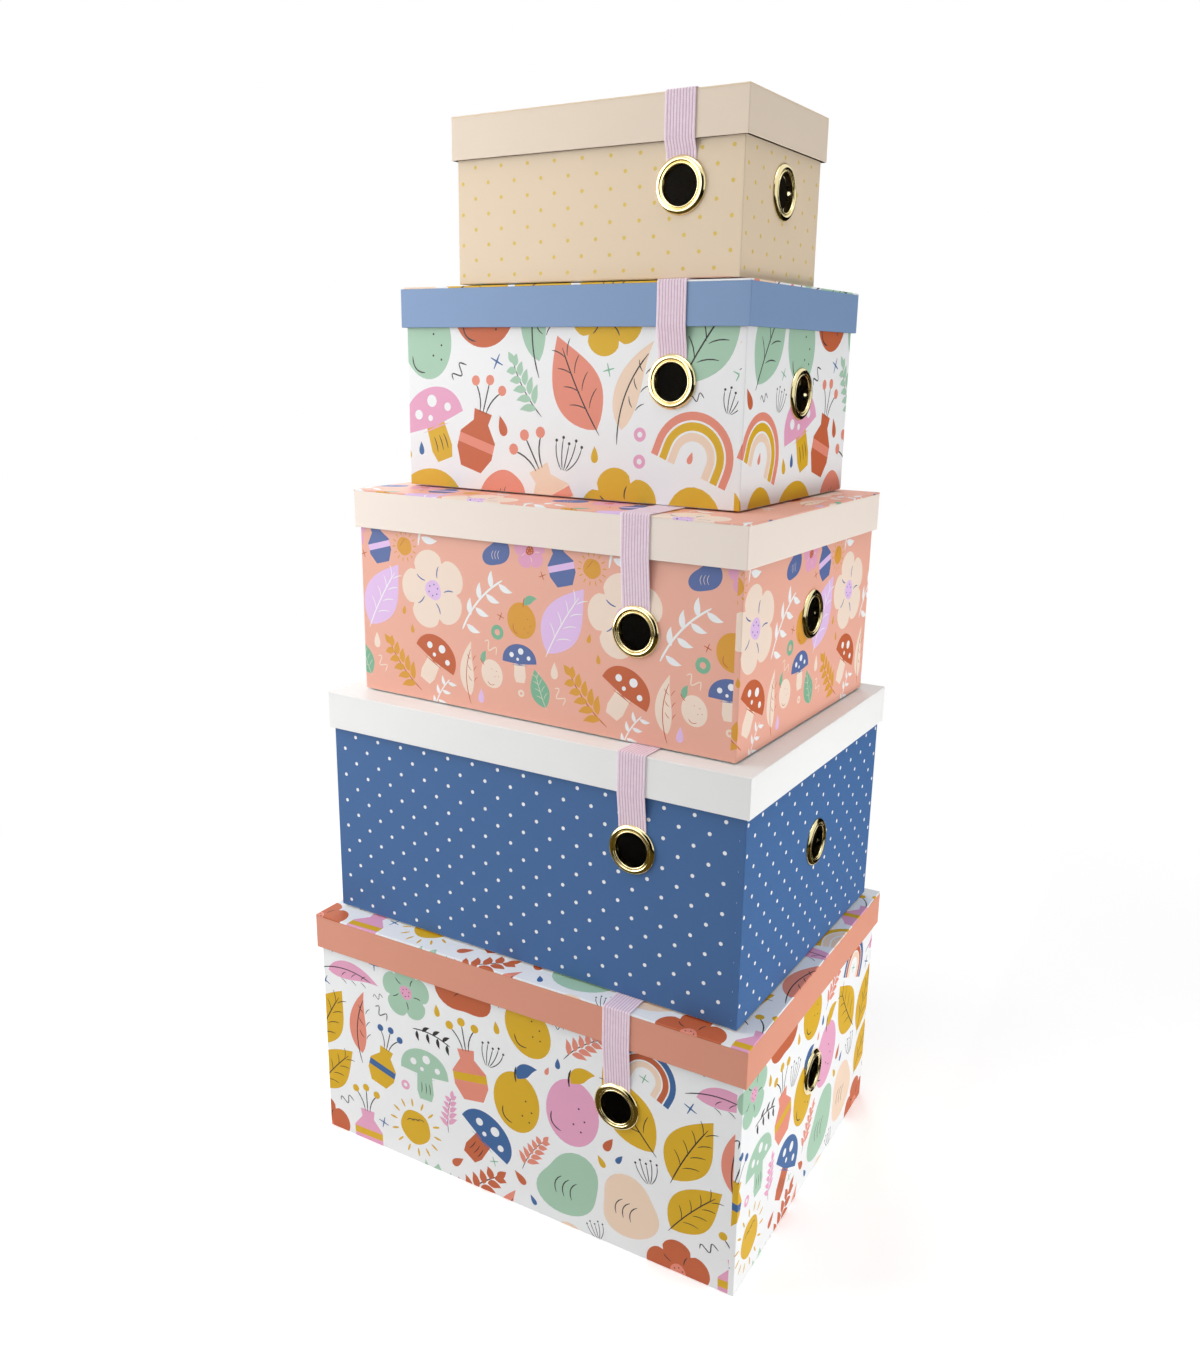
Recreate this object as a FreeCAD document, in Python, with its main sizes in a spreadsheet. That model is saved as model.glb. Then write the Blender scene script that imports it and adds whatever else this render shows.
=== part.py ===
import FreeCAD
import Part
import os
import Sketcher
from FreeCAD import Placement, Rotation, Vector

# A nesting set of five covered-board storage boxes, stacked largest at the bottom.
# Millimetres, +Z up, front towards -Y. The origin is the middle of the set's footprint on the floor.
# Box 5 is the largest and lowest, box 1 the smallest and highest.

doc = FreeCAD.newDocument("craft_box_set")
sheet = doc.addObject("Spreadsheet::Sheet", "sizes")
BOXES = ("5", "4", "3", "2", "1")

# Values that every box shares
COMMON = {
    "board": 2.0,               # greyboard of trays and lids
    "paper": 0.25,              # covering paper with its glue
    "turn_in": 15.0,            # paper turned over a rim to the inside
    "turn_under": 15.0,         # tray paper turned under the base
    "turn_over": 12.0,          # skirt paper turned over the lid's top edge
    "lid_clearance": 0.5,       # between the tray's paper and the lid's turned-in paper
    "seat_clearance": 0.1,      # between the tray's rim and the lid's board
    "skirt": 28.5,              # height of the lid
    "edge_ease": 0.8,           # upright edges of the covered board, where the paper goes round
    "sheet_inset": 0.5,         # base sheet stands in from the tray's edge
    "tape": 0.2,                # corner tapes
    "tape_leg": 14.0,
    "tape_clearance": 0.2,
    "strap_wide": 22.0,         # flat elastic
    "strap_thick": 0.8,
    "strap_gap": 0.2,           # elastic to lid, and elastic to the tray standing on it
    "strap_bend": 0.5,          # outside of the elastic, eased where it turns over the lid's edge
    "strap_jog": 1.6,           # height in which the elastic leaves its seat
    "seat_fit": 0.1,            # round the strap's end in its pressed seat
    "eyelet_rim": 18.0,         # outer radius of the brass flange
    "eyelet_crown": 15.4,       # radius of the flange's highest line
    "eyelet_throat": 12.3,      # radius of the finger hole
    "eyelet_wall": 0.6,         # brass of the barrel
    "eyelet_proud": 2.4,        # flange above the tray's paper
    "eyelet_lip": 1.4,          # flange's inner edge above the paper
    "barrel_end": 0.45,         # clinched end of the barrel, inside the wall
    "hole_fit": 0.1,            # barrel in its punched hole
}

# Per box: outer length, depth and height of the closed box, its turn on the stack in degrees,
# how far its near corner stands in from the one below, how far the strap and front eyelet stand in
# from the lid's right end, and the heights of the front and side eyelets over the tray's underside.
BOX_SIZES = {
    "5": {"length": 375.0, "depth": 284.0, "tall": 195.0, "turn": 0.0, "step_right": 0.0,
          "step_front": 0.0, "strap_in": 98.0, "front_hole": 117.0, "side_hole": 100.0},
    "4": {"length": 358.0, "depth": 262.0, "tall": 180.0, "turn": -1.2, "step_right": 12.9,
          "step_front": 13.8, "strap_in": 86.0, "front_hole": 111.0, "side_hole": 91.0},
    "3": {"length": 326.0, "depth": 234.0, "tall": 155.0, "turn": -2.2, "step_right": 15.7,
          "step_front": 14.8, "strap_in": 80.0, "front_hole": 77.0, "side_hole": 79.0},
    "2": {"length": 286.0, "depth": 186.0, "tall": 144.5, "turn": -2.2, "step_right": 24.0,
          "step_front": 43.5, "strap_in": 56.0, "front_hole": 81.0, "side_hole": 73.0},
    "1": {"length": 228.0, "depth": 128.0, "tall": 111.0, "turn": -1.7, "step_right": 7.9,
          "step_front": 3.0, "strap_in": 47.0, "front_hole": 56.0, "side_hole": 56.0},
}


def write_sheet():
    """Every driving value goes into a cell of its own, with its name as alias."""
    values = dict(COMMON)
    for box, own in BOX_SIZES.items():
        for name, value in own.items():
            values[f"{name}_{box}"] = value
    for line, (name, value) in enumerate(values.items(), start=1):
        sheet.set(f"A{line}", name)
        sheet.set(f"B{line}", str(value))
        sheet.setAlias(f"B{line}", name)
    doc.recompute()


def s(name):
    """Name of a sheet value inside an expression."""
    return f"sizes.{name}"


def number(expression):
    """An expression's value as a plain number."""
    return float(sheet.evalExpression(expression))


# Sizes that follow from the driving ones, as expressions
P = s("paper")
OVERHANG = f"({s('board')} + 2 * {P} + {s('lid_clearance')})"
LID_THICK = f"({s('board')} + 2 * {P})"
LAYER = f"({s('strap_thick')} + 2 * {s('strap_gap')})"
HOLE = f"({s('eyelet_throat')} + {s('eyelet_wall')} + {s('hole_fit')})"
BARREL = f"({s('barrel_end')} + {s('board')} + {P})"
SEAT_LOW = f"({HOLE} + 2 * {s('seat_fit')})"
SEAT_BEND = f"({s('eyelet_rim')} + 2 * {s('seat_fit')})"


def outline(box):
    """Expressions that the pieces of one box share."""
    length, depth, tall = (s(f"{name}_{box}") for name in ("length", "depth", "tall"))
    tray_length = f"({length} - 2 * {OVERHANG})"
    tray_depth = f"({depth} - 2 * {OVERHANG})"
    return {
        "length": length, "depth": depth, "tall": tall,
        "tray_length": tray_length, "tray_depth": tray_depth,
        "rim": f"({tall} - {LID_THICK} - {s('seat_clearance')})",
        "skirt_low": f"({tall} - {s('skirt')})",
        "hole_x": f"({length} / 2 - {s(f'strap_in_{box}')})",
        "front_hole": s(f"front_hole_{box}"),
        "side_hole": s(f"side_hole_{box}"),
    }


def shrink(expression, amount):
    """A size less an allowance at both ends."""
    return f"({expression} - 2 * {amount})"


def place_expressions(box):
    """Where a box stands: on its lower neighbours, near corner stepped in, turned a little."""
    lower = BOXES[:BOXES.index(box)]
    stepped = lower + (box,)
    corner_x = f"({s('length_5')} / 2 - ({' + '.join(s(f'step_right_{n}') for n in stepped)}))"
    corner_y = f"({s('depth_5')} / -2 + {' + '.join(s(f'step_front_{n}') for n in stepped)})"
    half_l, half_d = f"{s(f'length_{box}')} / 2", f"{s(f'depth_{box}')} / 2"
    turn = f"({s(f'turn_{box}')} * 1 deg)"
    level = " + ".join(f"{s(f'tall_{n}')} + {LAYER}" for n in lower) or "0"
    return {
        "Placement.Base.x": f"{corner_x} - {half_l} * cos({turn}) - {half_d} * sin({turn})",
        "Placement.Base.y": f"{corner_y} - {half_l} * sin({turn}) + {half_d} * cos({turn})",
        "Placement.Base.z": level,
        "Placement.Rotation.Angle": turn,
    }


def ride_with_tray(obj, box):
    """A piece of a box has the same placement as that box's tray board."""
    obj.setExpression("Placement", f"box{box}_tray_board.Placement")


def new_body(box, piece):
    """A body named for its box and piece, placed with its box."""
    name = f"box{box}_{piece}"
    body = doc.addObject("PartDesign::Body", name)
    body.Label = name
    if piece == "tray_board":
        body.Placement = Placement(Vector(), Rotation(Vector(0, 0, 1), 1))
        for path, expression in place_expressions(box).items():
            body.setExpression(path, expression)
    else:
        ride_with_tray(body, box)
    return body


def plane(body, role):
    """One of the body's own origin planes."""
    return next(item for item in body.Origin.OriginFeatures if item.Role == role)


def new_sketch(body, name, role="XY_Plane", offset=None):
    """A sketch on an origin plane of the body, or beside it by an offset."""
    sketch = body.newObject("Sketcher::SketchObject", f"{body.Name}_{name}")
    sketch.AttachmentSupport = [(plane(body, role), "")]
    sketch.MapMode = "FlatFace"
    if offset:
        sketch.setExpression("AttachmentOffset.Base.z", offset)
    return sketch


def bind(sketch, constraint, expression):
    """Add a dimension and tie it to the sheet."""
    index = sketch.addConstraint(constraint)
    sketch.setExpression(f"Constraints[{index}]", expression)


def add_polygon(sketch, points):
    """A closed outline whose corners are given as pairs of expressions."""
    corners = [Vector(number(x), number(y), 0) for x, y in points]
    count = len(corners)
    first = sketch.GeometryCount
    for i in range(count):
        sketch.addGeometry(Part.LineSegment(corners[i], corners[(i + 1) % count]), False)
    for i in range(count):
        following = first + (i + 1) % count
        sketch.addConstraint(Sketcher.Constraint("Coincident", first + i, 2, following, 1))
    for i, (x, y) in enumerate(points):
        line = first + i
        bind(sketch, Sketcher.Constraint("DistanceX", -1, 1, line, 1, corners[i].x), x)
        bind(sketch, Sketcher.Constraint("DistanceY", -1, 1, line, 1, corners[i].y), y)


def add_rectangle(sketch, width, depth):
    """A rectangle centred on the sketch's origin."""
    x, y = number(width) / 2, number(depth) / 2
    corners = [Vector(-x, -y, 0), Vector(x, -y, 0), Vector(x, y, 0), Vector(-x, y, 0)]
    first = sketch.GeometryCount
    for i in range(4):
        sketch.addGeometry(Part.LineSegment(corners[i], corners[(i + 1) % 4]), False)
    for i in range(4):
        following = first + (i + 1) % 4
        sketch.addConstraint(Sketcher.Constraint("Coincident", first + i, 2, following, 1))
        kind = "Vertical" if i % 2 else "Horizontal"
        sketch.addConstraint(Sketcher.Constraint(kind, first + i))
    sketch.addConstraint(Sketcher.Constraint("Symmetric", first, 1, first + 2, 1, -1, 1))
    bind(sketch, Sketcher.Constraint("DistanceX", first, 1, first, 2, 2 * x), width)
    bind(sketch, Sketcher.Constraint("DistanceY", first + 1, 1, first + 1, 2, 2 * y), depth)


def add_octagon(sketch, inradius, x, z):
    """A hole with eight equal sides, given by its inscribed circle."""
    points = []
    for i in range(8):
        angle = f"({45 * i + 22.5} * 1 deg)"
        corner = f"({inradius} / cos(22.5 * 1 deg))"
        points.append((f"{x} + {corner} * cos({angle})", f"{z} + {corner} * sin({angle})"))
    add_polygon(sketch, points)


def pad(body, sketch, length):
    """Material upwards from the sketch."""
    feature = body.newObject("PartDesign::Pad", f"{sketch.Name}_pad")
    feature.Profile = sketch
    feature.setExpression("Length", length)
    doc.recompute()
    return feature


def pocket(body, sketch, length, side="One side", reverse=False):
    """Material away: behind the sketch, before it when reversed, or to both sides of it."""
    before = body.Tip.Shape.Volume
    feature = body.newObject("PartDesign::Pocket", f"{sketch.Name}_pocket")
    feature.Profile = sketch
    feature.SideType = side
    feature.Reversed = reverse
    feature.setExpression("Length", length)
    doc.recompute()
    if feature.Shape.Volume > before - 1e-6:
        raise RuntimeError(f"{feature.Name} cuts nothing")
    return feature


def slab(body, name, width, depth, low, height):
    """A centred plate or block."""
    sketch = new_sketch(body, name, offset=low)
    add_rectangle(sketch, width, depth)
    return pad(body, sketch, height)


def hollow(body, name, width, depth, low, height):
    """A centred rectangular space, cut upwards from its lowest level."""
    sketch = new_sketch(body, name, offset=low)
    add_rectangle(sketch, width, depth)
    return pocket(body, sketch, height, reverse=True)


def frame_strip(body, name, outer, inner, low, height):
    """A rectangular tube, such as paper turned in along a rim."""
    sketch = new_sketch(body, name, offset=low)
    add_rectangle(sketch, *outer)
    add_rectangle(sketch, *inner)
    return pad(body, sketch, height)


def ease_uprights(body, feature):
    """Take the sharpness off the four upright edges of a covered block."""
    names = [f"Edge{i}" for i, edge in enumerate(feature.Shape.Edges, start=1)
             if abs(edge.tangentAt(edge.FirstParameter).z) > 0.99]
    chamfer = body.newObject("PartDesign::Chamfer", f"{feature.Name}_ease")
    chamfer.Base = (feature, names)
    chamfer.setExpression("Size", s("edge_ease"))
    doc.recompute()


def punch_holes(body, e):
    """Holes for the four eyelets: two in line front to back, two in line side to side.

    The flanges cover the holes' edges on both faces, so eight sides stand for the punched round.
    """
    front = new_sketch(body, "front_hole", "XZ_Plane")
    add_octagon(front, HOLE, e["hole_x"], e["front_hole"])
    pocket(body, front, e["depth"], side="Symmetric")
    side = new_sketch(body, "side_hole", "YZ_Plane")
    add_octagon(side, HOLE, "0", e["side_hole"])
    pocket(body, side, e["length"], side="Symmetric")


def press_strap_seats(body, e):
    """The strap's ends lie under the front and back flanges, pressed into the wall."""
    left = f"({e['hole_x']} - {s('strap_wide')} / 2 - {s('seat_fit')})"
    right = f"({e['hole_x']} + {s('strap_wide')} / 2 + {s('seat_fit')})"
    low = f"({e['front_hole']} + {SEAT_LOW} - {s('seat_fit')})"
    high = f"({e['front_hole']} + {SEAT_BEND} + {s('strap_jog')} + {s('seat_fit')})"
    sketch = new_sketch(body, "strap_seat", "XZ_Plane", f"{e['tray_depth']} / 2")
    add_polygon(sketch, [(left, low), (right, low), (right, high), (left, high)])
    seat = pocket(body, sketch, f"{s('strap_thick')} + {s('seat_fit')} / 2")
    mirrored = body.newObject("PartDesign::Mirrored", f"{body.Name}_back_seat")
    mirrored.Originals = [seat]
    mirrored.MirrorPlane = (plane(body, "XZ_Plane"), [""])
    body.Tip = mirrored


def tray_board(box, e):
    """Greyboard base and walls: open at the top, punched for the eyelets."""
    body = new_body(box, "tray_board")
    low = f"2 * {P}"
    outer = [shrink(e[key], P) for key in ("tray_length", "tray_depth")]
    inner = [shrink(size, s("board")) for size in outer]
    slab(body, "walls", *outer, low, f"{e['rim']} - 3 * {P}")
    hollow(body, "inside", *inner, f"{low} + {s('board')}", e["rim"])
    punch_holes(body, e)
    press_strap_seats(body, e)


def tray_wrap(box, e):
    """Covering paper: outside of the walls, over the rim, and turned under the base."""
    body = new_body(box, "tray_wrap")
    outer = [e["tray_length"], e["tray_depth"]]
    board = [shrink(size, P) for size in outer]
    inside = [shrink(size, s("board")) for size in board]
    mouth = [shrink(size, P) for size in inside]
    window = [shrink(size, s("turn_under")) for size in outer]
    block = slab(body, "outside", *outer, P, f"{e['rim']} - {P}")
    ease_uprights(body, block)
    hollow(body, "board_space", *board, f"2 * {P}", f"{e['rim']} - 3 * {P}")
    frame_strip(body, "turn_in", inside, mouth, f"{e['rim']} - {s('turn_in')}", s("turn_in"))
    hollow(body, "mouth", *mouth, f"{e['rim']} - {P}", f"2 * {P}")
    hollow(body, "window", *window, "0", f"2 * {P}")
    punch_holes(body, e)
    press_strap_seats(body, e)


def base_sheet(box, e):
    """Paper over the turned-under edges, pressed down to the board inside them."""
    body = new_body(box, "base_sheet")
    outer = [shrink(e[key], s("sheet_inset")) for key in ("tray_length", "tray_depth")]
    middle = [shrink(e[key], s("turn_under")) for key in ("tray_length", "tray_depth")]
    slab(body, "sheet", *outer, "0", P)
    slab(body, "middle", *middle, P, P)


def corner_tapes(box, piece, inside, low, height):
    """Four paper angles that stay the corners of a board on its inside."""
    body = new_body(box, piece)
    x, y = f"{inside[0]} / 2", f"{inside[1]} / 2"
    thick, leg = s("tape"), s("tape_leg")
    sketch = new_sketch(body, "angle", offset=low)
    add_polygon(sketch, [
        (x, y), (f"{x} - {leg}", y), (f"{x} - {leg}", f"{y} - {thick}"),
        (f"{x} - {thick}", f"{y} - {thick}"), (f"{x} - {thick}", f"{y} - {leg}"),
        (x, f"{y} - {leg}")])
    angle = pad(body, sketch, height)
    corners = body.newObject("PartDesign::MultiTransform", f"{body.Name}_corners")
    corners.Originals = [angle]
    mirrors = []
    for role in ("YZ_Plane", "XZ_Plane"):
        mirror = body.newObject("PartDesign::Mirrored", f"{body.Name}_{role[:2]}")
        mirror.MirrorPlane = (plane(body, role), [""])
        mirrors.append(mirror)
    corners.Transformations = mirrors
    body.Tip = corners


def lid_board(box, e):
    """Greyboard cap: a top and four skirt walls."""
    body = new_body(box, "lid_board")
    outer = [shrink(e[key], P) for key in ("length", "depth")]
    inner = [shrink(size, s("board")) for size in outer]
    low = f"{e['skirt_low']} + {P}"
    height = f"{s('skirt')} - 3 * {P}"
    slab(body, "cap", *outer, low, height)
    hollow(body, "inside", *inner, low, f"{height} - {s('board')}")


def lid_wrap(box, e):
    """Skirt paper: outside of the skirt, turned in at its rim and over the top edge."""
    body = new_body(box, "lid_wrap")
    outer = [e["length"], e["depth"]]
    board = [shrink(size, P) for size in outer]
    inside = [shrink(size, s("board")) for size in board]
    mouth = [shrink(size, P) for size in inside]
    window = [shrink(size, s("turn_over")) for size in outer]
    block = slab(body, "outside", *outer, e["skirt_low"], f"{s('skirt')} - {P}")
    ease_uprights(body, block)
    hollow(body, "board_space", *board, f"{e['skirt_low']} + {P}", f"{s('skirt')} - 3 * {P}")
    frame_strip(body, "turn_in", inside, mouth, e["skirt_low"], s("turn_in"))
    hollow(body, "mouth", *mouth, e["skirt_low"], P)
    hollow(body, "window", *window, f"{e['tall']} - 2 * {P}", P)


def lid_top_sheet(box, e):
    """Top paper: flush with the lid's edges, pressed down inside the turned-over paper."""
    body = new_body(box, "lid_top_sheet")
    outer = [e["length"], e["depth"]]
    middle = [shrink(size, s("turn_over")) for size in outer]
    top = slab(body, "sheet", *outer, f"{e['tall']} - {P}", P)
    ease_uprights(body, top)
    slab(body, "middle", *middle, f"{e['tall']} - 2 * {P}", P)


def strap_side(e, outward):
    """Distance from the middle and height of a strap's side, from its tucked end to the lid's top."""
    tray_half = number(f"{e['tray_depth']} / 2")
    lid_half = number(f"{e['depth']} / 2 + {s('strap_gap')}") + outward
    tail = number(f"{e['front_hole']} + {SEAT_LOW}")
    bend = number(f"{e['front_hole']} + {SEAT_BEND}")
    thick, gap = number(s("strap_thick")), number(s("strap_gap"))
    top = number(f"{e['tall']} + {s('strap_gap')}") + outward
    turn = number(s("strap_bend")) if outward else 0.0
    points = [
        (tray_half - thick + outward, tail),
        (tray_half - thick + outward, bend),
        (tray_half + gap + outward, bend + number(s("strap_jog"))),
        (lid_half, number(e["skirt_low"])),
        (lid_half, top - turn),
    ]
    if turn:
        points.append((lid_half - turn, top))
    return points


def strap(box, e):
    """Flat elastic, held under the front and back eyelets, over the lid."""
    name = f"box{box}_strap"
    wide = number(s("strap_wide"))
    left = number(e["hole_x"]) - wide / 2
    inner = strap_side(e, 0.0)
    outer = strap_side(e, number(s("strap_thick")))
    front = [Vector(left, -y, z) for y, z in inner]
    back = [Vector(left, y, z) for y, z in reversed(inner)]
    front_face = [Vector(left, -y, z) for y, z in reversed(outer)]
    back_face = [Vector(left, y, z) for y, z in outer]
    edge = Part.makePolygon(front + back + back_face + front_face + front[:1])
    obj = doc.addObject("Part::Feature", name)
    obj.Label = name
    obj.Shape = Part.Face(edge).extrude(Vector(wide, 0, 0))
    ride_with_tray(obj, box)


def eyelet_pattern():
    """One brass eyelet, turned about Z: the barrel's inner end at the origin, flange outwards."""
    body = doc.addObject("PartDesign::Body", "eyelet")
    sketch = new_sketch(body, "profile", "XZ_Plane")
    throat, rim = s("eyelet_throat"), s("eyelet_rim")
    barrel = f"({throat} + {s('eyelet_wall')})"
    add_polygon(sketch, [
        (throat, "0"),
        (throat, f"{BARREL} + {s('eyelet_lip')}"),
        (s("eyelet_crown"), f"{BARREL} + {s('eyelet_proud')}"),
        (rim, BARREL),
        (barrel, BARREL),
        (barrel, "0")])
    turned = body.newObject("PartDesign::Revolution", "eyelet_turned")
    turned.Profile = sketch
    turned.ReferenceAxis = (sketch, ["V_Axis"])
    turned.Angle = 360
    return body


def eyelets(box, e, pattern):
    """Four eyelets on the tray: front and back hold the strap, the sides are finger holes."""
    face_y = f"({e['tray_depth']} / 2 - {BARREL})"
    face_x = f"({e['tray_length']} / 2 - {BARREL})"
    seats = {
        "front": ((1, 0, 0), 90, e["hole_x"], f"-1 * {face_y}", e["front_hole"]),
        "back": ((1, 0, 0), -90, e["hole_x"], face_y, e["front_hole"]),
        "right": ((0, 1, 0), 90, face_x, None, e["side_hole"]),
        "left": ((0, 1, 0), -90, f"-1 * {face_x}", None, e["side_hole"]),
    }
    links = []
    for side, (axis, angle, x, y, z) in seats.items():
        link = doc.addObject("App::Link", f"box{box}_eyelet_{side}")
        link.LinkedObject = pattern
        link.Placement = Placement(Vector(), Rotation(Vector(*axis), angle))
        link.setExpression("Placement.Base.x", x)
        if y:
            link.setExpression("Placement.Base.y", y)
        link.setExpression("Placement.Base.z", z)
        links.append(link)
    name = f"box{box}_eyelets"
    group = doc.addObject("Part::Compound", name)
    group.Label = name
    group.Links = links
    ride_with_tray(group, box)


def build_box(box, pattern):
    """All the pieces of one box."""
    e = outline(box)
    tray_board(box, e)
    tray_wrap(box, e)
    base_sheet(box, e)
    wall = f"({P} + {s('board')})"
    tray_inside = [shrink(e[key], wall) for key in ("tray_length", "tray_depth")]
    floor = f"(2 * {P} + {s('board')})"
    gap = s("tape_clearance")
    corner_tapes(box, "tray_corner_tapes", tray_inside, f"{floor}",
                 f"{e['rim']} - {s('turn_in')} - {gap} - {floor}")
    lid_board(box, e)
    lid_wrap(box, e)
    lid_top_sheet(box, e)
    lid_inside = [shrink(e[key], wall) for key in ("length", "depth")]
    corner_tapes(box, "lid_corner_tapes", lid_inside,
                 f"{e['skirt_low']} + {s('turn_in')} + {gap}",
                 f"{s('skirt')} - {LID_THICK} - {s('turn_in')} - {gap}")
    strap(box, e)
    eyelets(box, e, pattern)


PIECES = ("tray_board", "tray_wrap", "base_sheet", "tray_corner_tapes", "lid_board", "lid_wrap",
          "lid_top_sheet", "lid_corner_tapes", "strap", "eyelets")


def write_parts():
    """Check every object, then write each piece to its own file."""
    failed = [obj.Name for obj in doc.Objects if {"Invalid", "Error"} & set(obj.State)]
    if failed:
        raise RuntimeError(f"failed objects: {failed}")
    pieces = [doc.getObject(f"box{box}_{piece}") for box in BOXES for piece in PIECES]
    for obj in pieces:
        if obj.Shape.isNull() or not obj.Shape.isValid():
            raise RuntimeError(f"{obj.Label} has no valid shape")
    os.makedirs("parts", exist_ok=True)
    for obj in pieces:
        obj.Shape.exportStep(f"parts/{obj.Label}.step")
        print(obj.Label, len(obj.Shape.Solids), round(obj.Shape.Volume, 1))


write_sheet()
eyelet = eyelet_pattern()
for number_of_box in BOXES:
    build_box(number_of_box, eyelet)
doc.recompute()
write_parts()
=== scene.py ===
# %% [markdown]
# # A stack of five covered-board craft boxes
# Nesting boxes of greyboard, covered with printed paper. Each has a lift-off lid, a flat elastic strap and
# four brass eyelets. The solid model gives every place and size, and its pieces are loaded first as the
# frame. This script dresses them: paper sheets folded round the board, prints cut as real outlines, ribbed
# elastic and turned brass. A quicker way would be to paint the solids, but then no sheet would have an
# edge, no strap a rib and no flange a rolled rim, and those are what the eye looks for up close.

# %% Load the solid model as the frame
import math
import random

import bpy
import numpy as np
from mathutils import Matrix, Vector
from mathutils.geometry import delaunay_2d_cdt


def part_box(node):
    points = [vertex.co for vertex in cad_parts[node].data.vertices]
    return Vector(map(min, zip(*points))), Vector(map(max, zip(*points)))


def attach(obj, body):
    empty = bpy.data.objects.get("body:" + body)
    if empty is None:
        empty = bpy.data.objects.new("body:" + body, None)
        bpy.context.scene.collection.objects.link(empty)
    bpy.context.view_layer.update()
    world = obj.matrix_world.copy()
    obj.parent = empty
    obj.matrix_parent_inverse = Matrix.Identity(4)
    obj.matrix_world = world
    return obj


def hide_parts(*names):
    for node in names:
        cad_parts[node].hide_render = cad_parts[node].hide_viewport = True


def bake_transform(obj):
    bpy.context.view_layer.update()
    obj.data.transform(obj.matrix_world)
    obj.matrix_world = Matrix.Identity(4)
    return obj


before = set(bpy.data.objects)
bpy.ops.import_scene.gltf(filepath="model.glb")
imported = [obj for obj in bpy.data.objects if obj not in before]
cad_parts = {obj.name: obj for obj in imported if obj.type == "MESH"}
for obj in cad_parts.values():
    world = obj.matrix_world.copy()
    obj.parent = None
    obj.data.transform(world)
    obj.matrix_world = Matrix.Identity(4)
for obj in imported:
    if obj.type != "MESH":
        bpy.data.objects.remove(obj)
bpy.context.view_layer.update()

# %% [markdown]
# ## The boxes' sizes
# The same values that drive the solids, in millimetres: outer length, depth and height of the closed box,
# its turn on the stack, how far its near corner stands in from the one below, and where its eyelets are.
# The sizes could be read back from the loaded solids, but a corner or a hole is hard to find in a mesh.
# Writing them down in each box's own millimetres keeps the numbers readable. One matrix per box turns them
# into metres in the shared frame, and the print shows that it lands on the solid.

# %% Sizes and places
SIZES = {
    5: dict(length=375.0, depth=284.0, tall=195.0, turn=0.0, right=0.0, front=0.0,
            strap_in=98.0, front_hole=117.0, side_hole=100.0),
    4: dict(length=358.0, depth=262.0, tall=180.0, turn=-1.2, right=12.9, front=13.8,
            strap_in=86.0, front_hole=111.0, side_hole=91.0),
    3: dict(length=326.0, depth=234.0, tall=155.0, turn=-2.2, right=15.7, front=14.8,
            strap_in=80.0, front_hole=77.0, side_hole=79.0),
    2: dict(length=286.0, depth=186.0, tall=144.5, turn=-2.2, right=24.0, front=43.5,
            strap_in=56.0, front_hole=81.0, side_hole=73.0),
    1: dict(length=228.0, depth=128.0, tall=111.0, turn=-1.7, right=7.9, front=3.0,
            strap_in=47.0, front_hole=56.0, side_hole=56.0),
}
BOARD, PAPER = 2.0, 0.25  # greyboard, and covering paper with its glue
OVERHANG = 3.0            # how far a lid's outside stands past its tray's
SKIRT = 28.5              # height of a lid
RIM_DROP = 2.6            # a tray's rim below the top of the closed box
LAYER = 1.2               # the strap and its play between two boxes


def box_matrix(box):
    """Box millimetres to metres in the shared frame."""
    size = SIZES[box]
    turn = math.radians(size["turn"])
    corner_x = SIZES[5]["length"] / 2 - sum(SIZES[n]["right"] for n in SIZES if n >= box)
    corner_y = -SIZES[5]["depth"] / 2 + sum(SIZES[n]["front"] for n in SIZES if n >= box)
    half_l, half_d = size["length"] / 2, size["depth"] / 2
    x = corner_x - half_l * math.cos(turn) - half_d * math.sin(turn)
    y = corner_y - half_l * math.sin(turn) + half_d * math.cos(turn)
    z = sum(SIZES[n]["tall"] + LAYER for n in SIZES if n > box)
    return Matrix.Scale(0.001, 4) @ Matrix.Translation((x, y, z)) @ Matrix.Rotation(turn, 4, "Z")


for box in SIZES:
    low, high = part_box(f"box{box}_lid_wrap")
    middle = box_matrix(box) @ Vector((0, 0, SIZES[box]["tall"]))
    print("box", box, "off by mm", [round(1000 * (a + b) / 2 - 1000 * c, 2)
                                   for a, b, c in zip(low, high, middle)][:2])

# %% [markdown]
# ## The camera
# Straight box edges that run the same way meet at a vanishing point, and three such points fix a camera.
# Here they give an eye level with the second box from the top, a view fifteen degrees down and thirty
# degrees to the left, and a slightly wide lens. A camera can also be set by eye, but the edges of five
# boxes would show every degree of error. The small shift is the picture's own framing.

# %% Camera


def in_scene(name, data):
    """A new object for a mesh, lamp or camera, linked to the scene."""
    obj = bpy.data.objects.new(name, data)
    bpy.context.scene.collection.objects.link(obj)
    return obj


FRAME_WIDE, FRAME_HIGH = 1200, 1360  # pixels
FOCAL_PX, MIDDLE_PX = 1185.2, (586.8, 675.8)
YAW, PITCH, ROLL = math.radians(-30.35), math.radians(14.92), math.radians(0.712)
EYE = (0.4384, -0.7843, 0.6279)
SENSOR = 36.0  # mm, along the frame's longer side

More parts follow.
